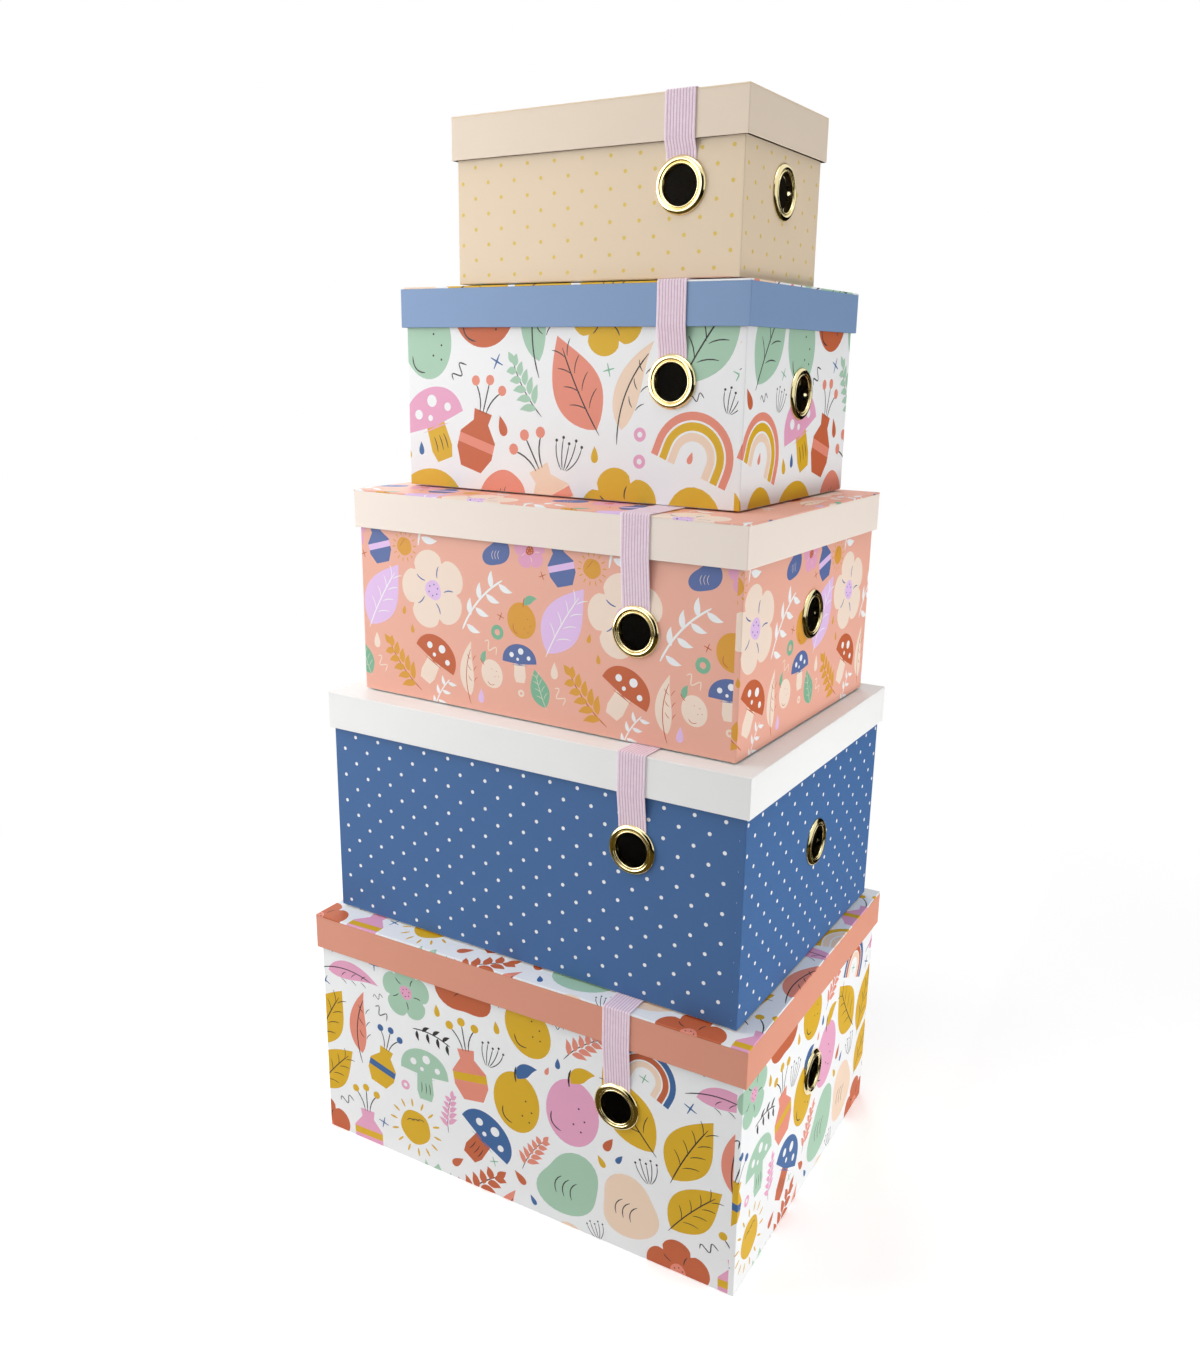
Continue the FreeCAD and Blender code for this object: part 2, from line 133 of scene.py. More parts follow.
forward = Vector((math.sin(YAW) * math.cos(PITCH), math.cos(YAW) * math.cos(PITCH), -math.sin(PITCH)))
level = Vector((math.cos(YAW), -math.sin(YAW), 0.0))
above = level.cross(forward)
right = math.cos(ROLL) * level + math.sin(ROLL) * above
up = -math.sin(ROLL) * level + math.cos(ROLL) * above
camera = in_scene("camera", bpy.data.cameras.new("camera"))
camera.matrix_world = Matrix.Translation(EYE) @ Matrix((right, up, -forward)).transposed().to_4x4()
camera.data.sensor_width = SENSOR
camera.data.lens = FOCAL_PX * SENSOR / FRAME_HIGH
camera.data.shift_x = (FRAME_WIDE / 2 - MIDDLE_PX[0]) / FRAME_HIGH
camera.data.shift_y = (MIDDLE_PX[1] - FRAME_HIGH / 2) / FRAME_HIGH
bpy.context.scene.camera = camera
print("lens mm", round(camera.data.lens, 2))

# %% [markdown]
# ## Colour and node helpers
# Colours are written as sRGB hex values, as a printer's swatch would be, and turned to linear once, because
# Blender mixes light in linear values. Materials could be built by hand in the node editor. Building them
# in code needs only one small function that adds any node with its settings and links. A texture that uses
# the object's own coordinates stays on the piece when it moves.

# %% Helpers for materials


def linear(code):
    """An sRGB hex colour as linear RGBA."""
    parts = [int(code[i:i + 2], 16) / 255 for i in (1, 3, 5)]
    return [c / 12.92 if c <= 0.04045 else ((c + 0.055) / 1.055) ** 2.4 for c in parts] + [1.0]


def add(tree, kind, settings=(), **inputs):
    """A node with its settings; an input is a value or another node's output."""
    node = tree.nodes.new(kind)
    for key, value in dict(settings).items():
        setattr(node, key, value)
    for key, value in inputs.items():
        socket = node.inputs[int(key[1:])] if key[0] == "i" and key[1:].isdigit() else node.inputs[
            key.replace("_", " ")]
        if isinstance(value, bpy.types.NodeSocket):
            tree.links.new(value, socket)
        else:
            socket.default_value = value
    return node


def start_material(name):
    """An empty node material with its output and the object's own coordinates."""
    material = bpy.data.materials.new(name)
    material.use_nodes = True
    tree = material.node_tree
    tree.nodes.clear()
    output = add(tree, "ShaderNodeOutputMaterial")
    place = add(tree, "ShaderNodeTexCoord").outputs["Object"]
    return material, tree, output, place


def finish_material(tree, output, shader):
    tree.links.new(shader.outputs[0], output.inputs["Surface"])


MM = 1000.0  # a texture scale of MM / size gives a feature of that size in millimetres

# %% [markdown]
# ## Coated paper
# The covers are art paper with a matt laminated face, printed in flat inks. Lamination gives a soft, even
# shine with a roughness near 0.58, and the paper's tooth shows as a very fine unevenness. Real tooth is
# about 0.2 mm, too fine to show here, so it is drawn at 1.4 mm, with a slow waviness of the glued sheet.
# The print could be a picture wrapped round the box, but it would blur up close, and nodes can draw dots
# but hardly a leaf. So each ink is a material of one plain colour, and the print's edges are cut in the
# mesh.

# %% Coated paper, one material for each ink
TOOTH, WAVE = 1.4, 38.0   # mm, the size of the paper's grain and of the glued sheet's waves
LAMINATE_ROUGHNESS = 0.58
LAMINATE_IOR = 1.48       # a polypropylene film


def coated_paper(name, colour):
    """Matt laminated paper: a broad, weak shine that hardly changes the printed colour."""
    material, tree, output, place = start_material(name)
    fine = add(tree, "ShaderNodeTexNoise", Vector=place, Scale=MM / TOOTH, Detail=3.0, Roughness=0.65)
    slow = add(tree, "ShaderNodeTexNoise", Vector=place, Scale=MM / WAVE, Detail=1.0)
    gloss = add(tree, "ShaderNodeMapRange", Value=fine.outputs[0], i1=0.3, i2=0.7,
                i3=LAMINATE_ROUGHNESS - 0.05, i4=LAMINATE_ROUGHNESS + 0.06)
    wave = add(tree, "ShaderNodeBump", Strength=0.35, Distance=0.0012, Height=slow.outputs[0])
    grain = add(tree, "ShaderNodeBump", Strength=0.05, Distance=0.0004, Height=fine.outputs[0],
                Normal=wave.outputs[0])
    shader = add(tree, "ShaderNodeBsdfPrincipled", Base_Color=linear(colour), Roughness=gloss.outputs[0],
                 Normal=grain.outputs[0])
    shader.inputs["IOR"].default_value = LAMINATE_IOR
    shader.inputs["Specular IOR Level"].default_value = 0.35
    finish_material(tree, output, shader)
    return material


INKS = {
    "white": "#F3F4F5", "mustard": "#DDAF1C", "ochre": "#E0A03A", "coral": "#E88F79", "blush": "#F3D8C0",
    "mint": "#A9CDB4", "denim": "#3E68A0", "pink": "#E9A6C6", "rust": "#C8643C", "line": "#33302F",
    "salmon": "#F0B39F", "cream": "#F6E1D0", "lilac": "#E6C3EE", "sage": "#7FB898", "slate": "#5B6FA5",
    "peach": "#E9D4B8", "yellow": "#E0C25A", "navy": "#446CA1", "grey": "#8C8F92",
}
paper = {ink: coated_paper(f"coated_paper_{ink}", colour) for ink, colour in INKS.items()}
skirt_paper = {
    1: coated_paper("lid_paper_pale_peach", "#EAD9C5"),
    2: coated_paper("lid_paper_dusty_blue", "#7F9BC2"),
    3: coated_paper("lid_paper_cream", "#F5E8DD"),
    4: coated_paper("lid_paper_white", "#F4F4F3"),
    5: coated_paper("lid_paper_coral", "#E19A82"),
}
print("papers", len(paper) + len(skirt_paper))

# %% [markdown]
# ## Greyboard, kraft tape and base paper
# The board is pressed from waste paper, so its cut faces show dull grey fibres with darker and paler
# flecks. The corners are stayed with gummed kraft tape, and plain paper covers the base. All three are
# felted fibres, so one material with three sets of colours does for them. Fibres could be hairs, but
# these faces are seen through a finger hole or from below, where stretched noise reads the same. They stay
# on the solid model's own pieces, whose shapes are already right.

# %% Board materials
FIBRE, FLECK = 2.2, 0.9  # mm, clumps of fibre and single flecks


def fibre_board(name, dark, pale, fleck):
    """Felted paper fibres: dull, mottled along the board, with sparse flecks."""
    material, tree, output, place = start_material(name)
    stretch = add(tree, "ShaderNodeMapping", Vector=place, Scale=(1.0, 1.0, 0.35))
    felt = add(tree, "ShaderNodeTexNoise", Vector=stretch.outputs[0], Scale=MM / FIBRE, Detail=6.0,
               Roughness=0.7)
    flecks = add(tree, "ShaderNodeTexNoise", Vector=place, Scale=MM / FLECK, Detail=1.0)
    tone = add(tree, "ShaderNodeMix", {"data_type": "RGBA"}, Factor=felt.outputs[0], i6=linear(dark),
               i7=linear(pale))
    mask = add(tree, "ShaderNodeMapRange", Value=flecks.outputs[0], i1=0.66, i2=0.74)
    speckled = add(tree, "ShaderNodeMix", {"data_type": "RGBA"}, Factor=mask.outputs[0],
                   i6=tone.outputs[2], i7=linear(fleck))
    relief = add(tree, "ShaderNodeBump", Strength=0.25, Distance=0.0005, Height=felt.outputs[0])
    shader = add(tree, "ShaderNodeBsdfPrincipled", Base_Color=speckled.outputs[2], Roughness=0.88,
                 Normal=relief.outputs[0])
    finish_material(tree, output, shader)
    return material


greyboard = fibre_board("pressed_greyboard", "#968E84", "#B4ADA2", "#6F6961")
kraft = fibre_board("gummed_kraft_tape", "#BFA987", "#D2BF9F", "#A58C68")
base_paper = fibre_board("uncoated_base_paper", "#E4E0D8", "#EFECE6", "#D6D0C4")
for box in SIZES:
    for piece, finish in (("tray_board", greyboard), ("lid_board", greyboard), ("base_sheet", base_paper),
                          ("tray_corner_tapes", kraft), ("lid_corner_tapes", kraft)):
        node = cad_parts[f"box{box}_{piece}"]
        node.data.materials.clear()
        node.data.materials.append(finish)
print("board, tape and base sheets dressed")

# %% [markdown]
# ## Motifs for the prints
# The covers carry a print that looks hand-drawn. Here it is a set of garden motifs: leaves, blossoms, suns,
# mushrooms and small marks. They could be drawn as curves, but a mesh needs points in the end. So a motif
# is a list of layers, each an ink and a closed outline in millimetres, and one triangulation can cut them
# all into a sheet with crisp edges. The helpers here draw what a pen and a brush do: a wobbly blob, a dot,
# a stroke, a bowed line and a leaf blade.

# %% Outline helpers


def wobbly(radius, rng, lobes=((2, 0.06), (3, 0.05)), points=36, squeeze=1.0):
    """A closed outline whose radius swings a little, as drawn by hand."""
    phases = [rng.uniform(0, math.tau) for _ in lobes]
    ring = []
    for i in range(points):
        angle = math.tau * i / points
        r = radius * (1 + sum(size * math.cos(n * angle + p) for (n, size), p in zip(lobes, phases)))
        ring.append((r * math.cos(angle), r * math.sin(angle) * squeeze))
    return ring


def disc(x, y, radius, points=16):
    """A dot."""
    return [(x + radius * math.cos(math.tau * i / points), y + radius * math.sin(math.tau * i / points))
            for i in range(points)]


def stroke(line, width):
    """The outline of a pen line of even width with tapered ends."""
    left, back = [], []
    last = len(line) - 1
    for i, (x, y) in enumerate(line):
        ahead, behind = line[min(i + 1, last)], line[max(i - 1, 0)]
        dx, dy = ahead[0] - behind[0], ahead[1] - behind[1]
        size = math.hypot(dx, dy)
        half = width / 2 * (0.45 if i in (0, last) else 1.0)
        left.append((x - dy / size * half, y + dx / size * half))
        back.append((x + dy / size * half, y - dx / size * half))
    return left + back[::-1]


def bow(x0, y0, x1, y1, swing, points=9):
    """Points on a line from one place to another that swings out to its left."""
    dx, dy = x1 - x0, y1 - y0
    steps = [i / (points - 1) for i in range(points)]
    return [(x0 + dx * t - dy * swing * 4 * t * (1 - t), y0 + dy * t + dx * swing * 4 * t * (1 - t))
            for t in steps]


def blade(x0, y0, x1, y1, width, swing=0.0, points=12, fullness=0.8):
    """A leaf blade from its stalk to its tip."""
    spine = bow(x0, y0, x1, y1, swing, points)
    left, back = [spine[0]], []
    for i in range(1, points - 1):
        (ax, ay), (bx, by) = spine[i - 1], spine[i + 1]
        size = math.hypot(bx - ax, by - ay)
        half = width / 2 * math.sin(math.pi * (i / (points - 1)) ** fullness)
        nx, ny = -(by - ay) / size, (bx - ax) / size
        left.append((spine[i][0] + nx * half, spine[i][1] + ny * half))
        back.append((spine[i][0] - nx * half, spine[i][1] - ny * half))
    return left + [spine[-1]] + back[::-1]


def inside(spots, ring):
    """Which spots lie in a closed outline, counted by how often it winds round them."""
    ring = np.array(ring)
    after = np.roll(ring, -1, axis=0)
    x, y = spots[:, :1], spots[:, 1:]
    cross = (after[:, 0] - ring[:, 0]) * (y - ring[:, 1]) - (x - ring[:, 0]) * (after[:, 1] - ring[:, 1])
    rising = (ring[:, 1] <= y) & (after[:, 1] > y) & (cross > 0)
    falling = (ring[:, 1] > y) & (after[:, 1] <= y) & (cross < 0)
    return rising.sum(axis=1) != falling.sum(axis=1)


print("points in a stroke", len(stroke(bow(0, 0, 10, 0, 0.1), 1.0)),
      "in a leaf blade", len(blade(0, 0, 0, 9, 4)))

# %% [markdown]
# ### The drawings
# Each drawing takes a random generator and its inks: body, line and sometimes a second colour. It leaves
# alone what it doesn't need. The generator has a fixed seed, so that no two drawings are quite alike and
# every run gives the same sheet. Leaves and flowers come first, then things, then small marks.

# %% Leaves and flowers


def big_leaf(rng, ink, line, *_):
    layers = [(ink, blade(0, -27, 0, 27, 30, 0.03, 18))]
    layers.append((line, stroke(bow(0, -30, 0, 20, 0.03), 0.8)))
    for i in range(4):
        y = -15 + 10 * i
        for side in (-1, 1):
            layers.append((line, stroke(bow(side * 0.8, y, side * (9.5 - i), y + 7, side * 0.08, 5), 0.6)))
    return layers


def branch(rng, ink, line, *_):
    layers = [(line, stroke(bow(-3, -28, 4, 24, 0.06, 11), 1.0))]
    for i in range(5):
        y, x = -20 + 9.0 * i, -2.6 + 1.3 * i
        size = 14 - 1.2 * i
        layers.append((ink, blade(x - 1, y, x - size, y + size * 0.75, 6.6, -0.1)))
        layers.append((ink, blade(x + 1, y + 4, x + size, y + 4 + size * 0.75, 6.6, 0.1)))
    layers.append((ink, blade(4, 23, 6, 34, 6.0)))
    return layers


def blossom(rng, ink, line, heart="mustard"):
    ring = []
    for i in range(60):
        angle = math.tau * i / 60
        r = 21 * (0.72 + 0.28 * abs(math.cos(2.5 * angle)) ** 0.55)
        ring.append((r * math.cos(angle), r * math.sin(angle)))
    layers = [(ink, ring)]
    for i in range(5):
        angle = math.tau * (i + 0.5) / 5
        near, far = angle, angle + 0.1
        layers.append((line, stroke(bow(7 * math.cos(near), 7 * math.sin(near), 13 * math.cos(far),
                                        13 * math.sin(far), 0.1, 5), 0.7)))
    layers.append((heart, wobbly(5.2, rng, points=18)))
    for i in range(6):
        angle = math.tau * i / 6
        layers.append((line, disc(3 * math.cos(angle), 3 * math.sin(angle), 0.5, 6)))
    return layers


def stemmed_flower(rng, ink, line, leaf="mint"):
    layers = [(line, stroke(bow(0, -30, 1, 6, 0.05), 1.0)),
              (leaf, blade(0, -20, -14, -6, 8, -0.12)), (leaf, blade(0, -15, 14, -3, 8, 0.12)),
              (ink, [(-11, 22), (-12, 12), (-8, 5), (0, 2), (8, 5), (12, 12), (11, 22), (6, 15), (0, 24),
                     (-6, 15)])]
    layers.append((line, stroke(bow(-4, 6, -5, 14, 0.08, 5), 0.6)))
    layers.append((line, stroke(bow(4, 6, 5, 14, -0.08, 5), 0.6)))
    return layers


def feather(rng, ink, line, *_):
    layers = [(ink, blade(-18, -14, 20, 16, 15, 0.1, 18, 0.7)),
              (line, stroke(bow(-24, -19, 14, 12, 0.1, 12), 0.8))]
    for i in range(3):
        x, y = -6 + 7 * i, -9 + 6.5 * i
        layers.append((line, stroke(bow(x, y, x + 6, y + 0.5, 0.1, 4), 0.6)))
        layers.append((line, stroke(bow(x - 1, y + 2, x, y + 8, 0.1, 4), 0.6)))
    return layers


def grass(rng, ink, line, *_):
    layers = []
    for i, lean in enumerate((-9, -4, 1, 6, 11)):
        layers.append((line, stroke(bow(i - 2, -9, lean, 8 + 3 * (i % 2), -lean * 0.01, 7), 0.8)))
        layers.append((line, disc(lean, 9 + 3 * (i % 2), 1.1, 8)))
    return layers


def pen_branch(rng, ink, line, *_):
    """A branch drawn with one pen."""
    layers = [(line, stroke(bow(-26, -6, 26, 6, 0.08, 16), 1.5))]
    for i in range(7):
        x, y = -20 + 7 * i, -4.6 + 1.7 * i + 3.2 * math.sin(math.pi * i / 6)
        side = 1 if i % 2 else -1
        layers.append((line, blade(x, y, x + 7, y + side * 11, 4.6, side * 0.1, 9)))
    return layers


print("layers in a blossom", len(blossom(random.Random(0), "pink", "line")))

# %% Things


def mushroom(rng, ink, line, stem="blush"):
    cap = [(20 * math.cos(math.pi * i / 24), 18 * math.sin(math.pi * i / 24) ** 0.85) for i in range(25)]
    layers = [(stem, [(-6, 1), (-7, -14), (-5, -20), (5, -20), (7, -14), (6, 1)]),
              (ink, cap + [(10, -3), (-10, -3)])]
    for x, y, r in ((-9, 7, 2.6), (2, 11, 3.2), (11, 5, 2.2), (-2, 3, 1.6)):
        layers.append(("white", disc(x, y, r, 14)))
    for x in (-3, 0.5, 3.6):
        layers.append((line, stroke(bow(x, -7, x * 1.1, -15, 0.05, 4), 0.6)))
    return layers


def sun(rng, ink, line, *_):
    layers = [(ink, wobbly(13, rng, ((2, 0.02), (5, 0.02))))]
    for i in range(14):
        angle = math.tau * i / 14
        c, s = math.cos(angle), math.sin(angle)
        layers.append((ink, stroke([(16 * c, 16 * s), (19 * c, 19 * s), (22 * c, 22 * s)], 1.8)))
    for i in range(3):
        layers.append((line, stroke(bow(-8 + 3 * i, -1 + 3 * i, -3 + 3 * i, 4 + 3 * i, 0.2, 6), 0.6)))
    return layers


def arch(rng, ink, line, second="mustard"):
    layers = []
    for radius, ink in zip((22, 17, 12), (ink, second, "blush")):
        turns = [math.pi * i / 22 for i in range(23)]
        outer = [(radius * math.cos(t), radius * math.sin(t)) for t in turns]
        inner = [(x * (radius - 4) / radius, y * (radius - 4) / radius) for x, y in outer]
        layers.append((ink, [(radius, -7)] + outer + [(-radius, -7), (4 - radius, -7)] + inner[::-1] + [
            (radius - 4, -7)]))
    return layers


def fruit(rng, ink, line, leaf="mint"):
    layers = [(ink, wobbly(15, rng, ((1, 0.1), (2, 0.05)), squeeze=1.12)),
              (leaf, blade(1, 15, 14, 23, 7.5, 0.15)),
              (line, stroke(bow(0, 13, 1, 22, 0.08, 5), 1.0)),
              (line, stroke(bow(-10, -3, -5, -12, -0.25), 0.7))]
    for x, y in ((5, 3), (8, -3), (2, -6), (6, -9)):
        layers.append((line, disc(x, y, 0.55, 6)))
    return layers


def pebble(rng, ink, line, *_):
    layers = [(ink, wobbly(19, rng, ((2, 0.16), (3, 0.07)), squeeze=0.85))]
    for i in range(3):
        layers.append((line, stroke(bow(-9 + 4 * i, -4 - 2 * i, -3 + 4 * i, 5 - 2 * i, 0.2, 6), 0.6)))
    return layers


def vase(rng, ink, line, band="mustard"):
    layers = [(ink, [(-6, 14), (-5, 8), (-12, 0), (-12, -9), (-7, -18), (7, -18), (12, -9), (12, 0), (5, 8),
                     (6, 14)]),
              (band, [(-12, -1), (-12, -6), (12, -6), (12, -1)])]
    for side in (-1, 0, 1):
        layers.append((line, stroke(bow(side * 2, 13, side * 9, 27 + 3 * (side == 0), side * 0.1, 6), 0.8)))
        layers.append((band, disc(side * 9, 28 + 3 * (side == 0), 2.7, 12)))
    return layers


print("layers in a vase", len(vase(random.Random(0), "pink", "line")))

# %% Small marks


def drop(rng, ink, line, *_):
    turns = [math.tau * i / 24 for i in range(24)]
    return [(ink, [(4.4 * math.sin(t) * math.sin(t / 2) ** 1.3, 6.5 * math.cos(t)) for t in turns])]


def cross_mark(rng, ink, line):
    layers = []
    for angle in (0.2, 0.2 + math.pi / 2):
        c, s = math.cos(angle), math.sin(angle)
        layers.append((ink, stroke([(-5 * c, -5 * s), (0, 0), (5 * c, 5 * s)], 1.3)))
    return layers


def ring_mark(rng, ink, line):
    return [(ink, disc(0, 0, 5.2, 20)), ("ground", disc(0, 0, 2.2, 12))]


def curl(rng, ink, line):
    points = [(i - 7, 3.2 * math.sin(3.2 * math.pi * i / 14)) for i in range(15)]
    return [(line, stroke(points, 0.9))]


print("layers in a ring mark", len(ring_mark(random.Random(0), "pink", "line")))

# %% [markdown]
# ### Laying out a repeat
# A printed paper repeats. A designer moves the drawings about by hand until they sit evenly, and a random
# scatter would leave holes and overlaps. Here the drawings are dropped one by one onto a tile, largest
# first, each where it fits most snugly among those already there, and small marks fill what is left. The
# tile wraps round at its edges, so that it joins with itself. It is a grid of small cells, and a Fourier
# transform tries a drawing in every cell at once.

# %% The tile's grid
CELL = 1.5  # mm


def cells_of(rings, nx, ny):
    """The cells of the tile that a drawing at its origin covers."""
    mask = np.zeros((nx, ny))
    reach = math.ceil(max(max(abs(x), abs(y)) for _, ring in rings for x, y in ring) / CELL) + 1
    steps = np.arange(-reach, reach + 1)
    gi, gj = (g.ravel() for g in np.meshgrid(steps, steps, indexing="ij"))
    for _, ring in rings:
        hit = inside(np.stack([gi, gj], axis=1) * CELL, ring)
        mask[gi[hit] % nx, gj[hit] % ny] = 1.0
    return mask


def round_brush(radius, nx, ny):
    """A filled circle round the tile's origin, as a spectrum."""
    i, j = np.meshgrid(np.minimum(np.arange(nx), nx - np.arange(nx)),
                       np.minimum(np.arange(ny), ny - np.arange(ny)), indexing="ij")
    return np.fft.fft2((np.hypot(i, j) * CELL <= radius).astype(float))


print("cells under a 5 mm brush", round(round_brush(5.0, 40, 40)[0, 0].real))

# %% Laying out


def lay_out(seed, wide, high, drawings, fillers, marks, gap, spread):
    """One tile of the print, with a gap in mm round each drawing. Spread enlarges them all."""
    rng, noise = random.Random(seed), np.random.default_rng(seed)
    nx, ny = round(wide / CELL), round(high / CELL)
    tight, loose, halo = (round_brush(g, nx, ny) for g in (gap, gap + 1.0, gap + 5.0))
    taken, layers, inked = np.zeros((nx, ny)), [], 0.0
    queue = [(drawing, tight, 8) for drawing in drawings]
    queue += [(fillers[i % len(fillers)], loose, 2) for i in range(marks)]
    for (draw, inks, scale), brush, tries in queue:
        made = draw(rng, *inks)
        best = None
        filled = np.fft.fft2(taken)
        for _ in range(tries):
            turn = rng.uniform(-0.9, 0.9)
            c, s = math.cos(turn) * scale * spread, math.sin(turn) * scale * spread
            rings = [(ink, [(c * x - s * y, s * x + c * y) for x, y in ring]) for ink, ring in made]
            mask = cells_of(rings, nx, ny)
            shape = np.fft.fft2(mask)
            overlap = np.fft.ifft2(filled * np.conj(shape * brush)).real
            snug = np.fft.ifft2(filled * np.conj(shape * halo)).real
            # a little chance keeps rows from forming, and -1 bars a place that is taken
            snug = snug / max(1.0, snug.max()) + noise.uniform(0, 0.25, (nx, ny))
            snug[overlap > 0.5] = -1
            i, j = np.unravel_index(int(snug.argmax()), snug.shape)
            if snug[i, j] > (best[0] if best else -0.5):
                best = (snug[i, j], i, j, rings, mask)
        if best is None:
            continue
        _, i, j, rings, mask = best
        inked += mask.mean()
        taken = np.maximum(taken, np.roll(mask, (i, j), axis=(0, 1)))
        layers.append([(ink, [(x + i * CELL, y + j * CELL) for x, y in ring]) for ink, ring in rings])
    print("motifs placed", len(layers), "inked share", round(inked, 2))
    return dict(wide=nx * CELL, high=ny * CELL, motifs=layers)


# %% What each print holds
CYCLE = ("mustard", "coral", "mint", "blush", "denim", "mustard", "pink", "coral", "rust", "mint",
         "mustard")


def garden(start, rounds):
    """Drawings on white, largest first, with the inks taken in turn."""
    shapes = (
        (big_leaf, 1.1), (blossom, 1.15), (fruit, 1.35), (pebble, 1.3), (vase, 1.15), (mushroom, 1.1),
        (feather, 1.1), (arch, 1.05), (stemmed_flower, 1.0), (sun, 1.0), (branch, 0.9), (pebble, 0.85),
        (fruit, 0.9), (big_leaf, 0.75), (blossom, 0.8), (pen_branch, 0.7), (mushroom, 0.7), (branch, 0.65),
        (grass, 0.9))
    made = []
    for k in range(rounds):
        for i, (draw, scale) in enumerate(shapes):
            turn = 3 * i + 5 * k + start
            inks = (CYCLE[turn % len(CYCLE)], "line", CYCLE[(turn + 4) % len(CYCLE)])
            made.append((draw, inks, scale * (1.0 - 0.08 * k)))
    return sorted(made, key=lambda m: -m[2])


SMALL = [
    (ring_mark, ("denim", "line"), 1.1), (drop, ("rust", "line"), 0.9),
    (cross_mark, ("denim", "line"), 0.9), (curl, ("line", "line"), 0.9),
    (ring_mark, ("pink", "line"), 0.7), (drop, ("mustard", "line"), 0.7),
    (cross_mark, ("sage", "line"), 0.7), (grass, ("line", "line"), 0.6), (drop, ("denim", "line"), 0.6),
    (ring_mark, ("grey", "line"), 0.8), (drop, ("coral", "line"), 0.5), (curl, ("line", "line"), 0.6),
]
SMALL_PALE = [
    (ring_mark, ("sage", "line"), 1.0), (drop, ("cream", "line"), 0.9), (cross_mark, ("rust", "line"), 0.6),
    (ring_mark, ("slate", "line"), 0.8), (drop, ("lilac", "line"), 0.8), (curl, ("cream", "cream"), 0.9),
    (drop, ("ochre", "line"), 0.5), (ring_mark, ("cream", "line"), 0.5),
]


def evening_garden():
    """Drawings on salmon: pale and cool inks, with white pen branches."""
    return [
        (blossom, ("cream", "slate", "lilac"), 1.35), (pen_branch, ("white", "white"), 1.1),
        (big_leaf, ("lilac", "white"), 1.0), (pen_branch, ("white", "white"), 0.95),
        (mushroom, ("rust", "cream", "cream"), 0.95), (vase, ("slate", "cream", "lilac"), 0.85),
        (branch, ("ochre", "rust"), 0.8), (stemmed_flower, ("pink", "slate", "sage"), 0.8),
        (feather, ("cream", "rust"), 0.8), (fruit, ("ochre", "rust", "sage"), 0.75),
        (blossom, ("pink", "cream", "rust"), 0.6), (pen_branch, ("white", "white"), 0.6),
        (vase, ("rust", "cream", "ochre"), 0.7), (mushroom, ("slate", "cream", "cream"), 0.7),
        (branch, ("cream", "rust"), 0.7), (fruit, ("cream", "rust", "sage"), 0.6),
        (sun, ("ochre", "rust"), 0.5), (pebble, ("slate", "cream"), 0.55),
        (big_leaf, ("sage", "cream"), 0.5),
    ]


def polka(ink, across, up_step, radius):
    """Dots in staggered rows."""
    return dict(wide=across, high=2 * up_step, motifs=[
        [(ink, disc(across * 0.25, up_step * 0.5, radius, 12))],
        [(ink, disc(across * 0.75, up_step * 1.5, radius, 12))]])


print("drawings on white", len(garden(0, 3)), "on salmon", len(evening_garden()))

# %% The five prints
PRINTS = {
    1: ("peach", polka("yellow", 22.1, 10.2, 1.35)),
    2: ("white", lay_out(23, 285.0, 195.0, garden(2, 2), SMALL, marks=22, gap=7.0, spread=1.3)),
    3: ("salmon", lay_out(31, 165.0, 190.0, evening_garden(), SMALL_PALE, marks=16, gap=5.5, spread=1.06)),
    4: ("navy", polka("white", 22.6, 10.75, 1.45)),
    5: ("white", lay_out(57, 330.0, 222.0, garden(0, 3), SMALL, marks=34, gap=6.8, spread=1.16)),
}
for box, (ground, tile) in PRINTS.items():
    print("print", box, "on", ground, "motifs in a repeat", len(tile["motifs"]))

# %% [markdown]
# ## Folding a printed sheet
# A sheet is cut and printed while it lies flat, then folded. Here one constrained triangulation of the
# flat sheet takes its outline, its holes, its fold lines and every printed outline. Each triangle gets the
# ink of the topmost outline over it. The flat points then go through a folding function that gives their
# place and the paper's outward direction. A Solidify modifier could add the thickness, but it would round
# off the shading at the folds. So the sheet gets a second face and a rim here, and keeps its true normals.

# %% Cutting and printing the flat sheet


def limits(ring):
    """Lowest and highest x, then lowest and highest y."""
    xs, ys = [p[0] for p in ring], [p[1] for p in ring]
    return min(xs), max(xs), min(ys), max(ys)


def printed_rings(tile, area, shift):
    """Each outline of the repeated tile that falls on the area, from the lowest layer up."""
    low_x, high_x, low_y, high_y = area
    for i in range(math.floor((low_x - shift[0]) / tile["wide"]) - 1,
                   math.ceil((high_x - shift[0]) / tile["wide"]) + 1):
        for j in range(math.floor((low_y - shift[1]) / tile["high"]) - 1,
                       math.ceil((high_y - shift[1]) / tile["high"]) + 1):
            dx, dy = shift[0] + i * tile["wide"], shift[1] + j * tile["high"]
            for ink, ring in (layer for motif in tile["motifs"] for layer in motif):
                moved = [(x + dx, y + dy) for x, y in ring]
                left, right_end, foot, head = limits(moved)
                if right_end >= low_x and left <= high_x and head >= low_y and foot <= high_y:
                    yield ink, moved


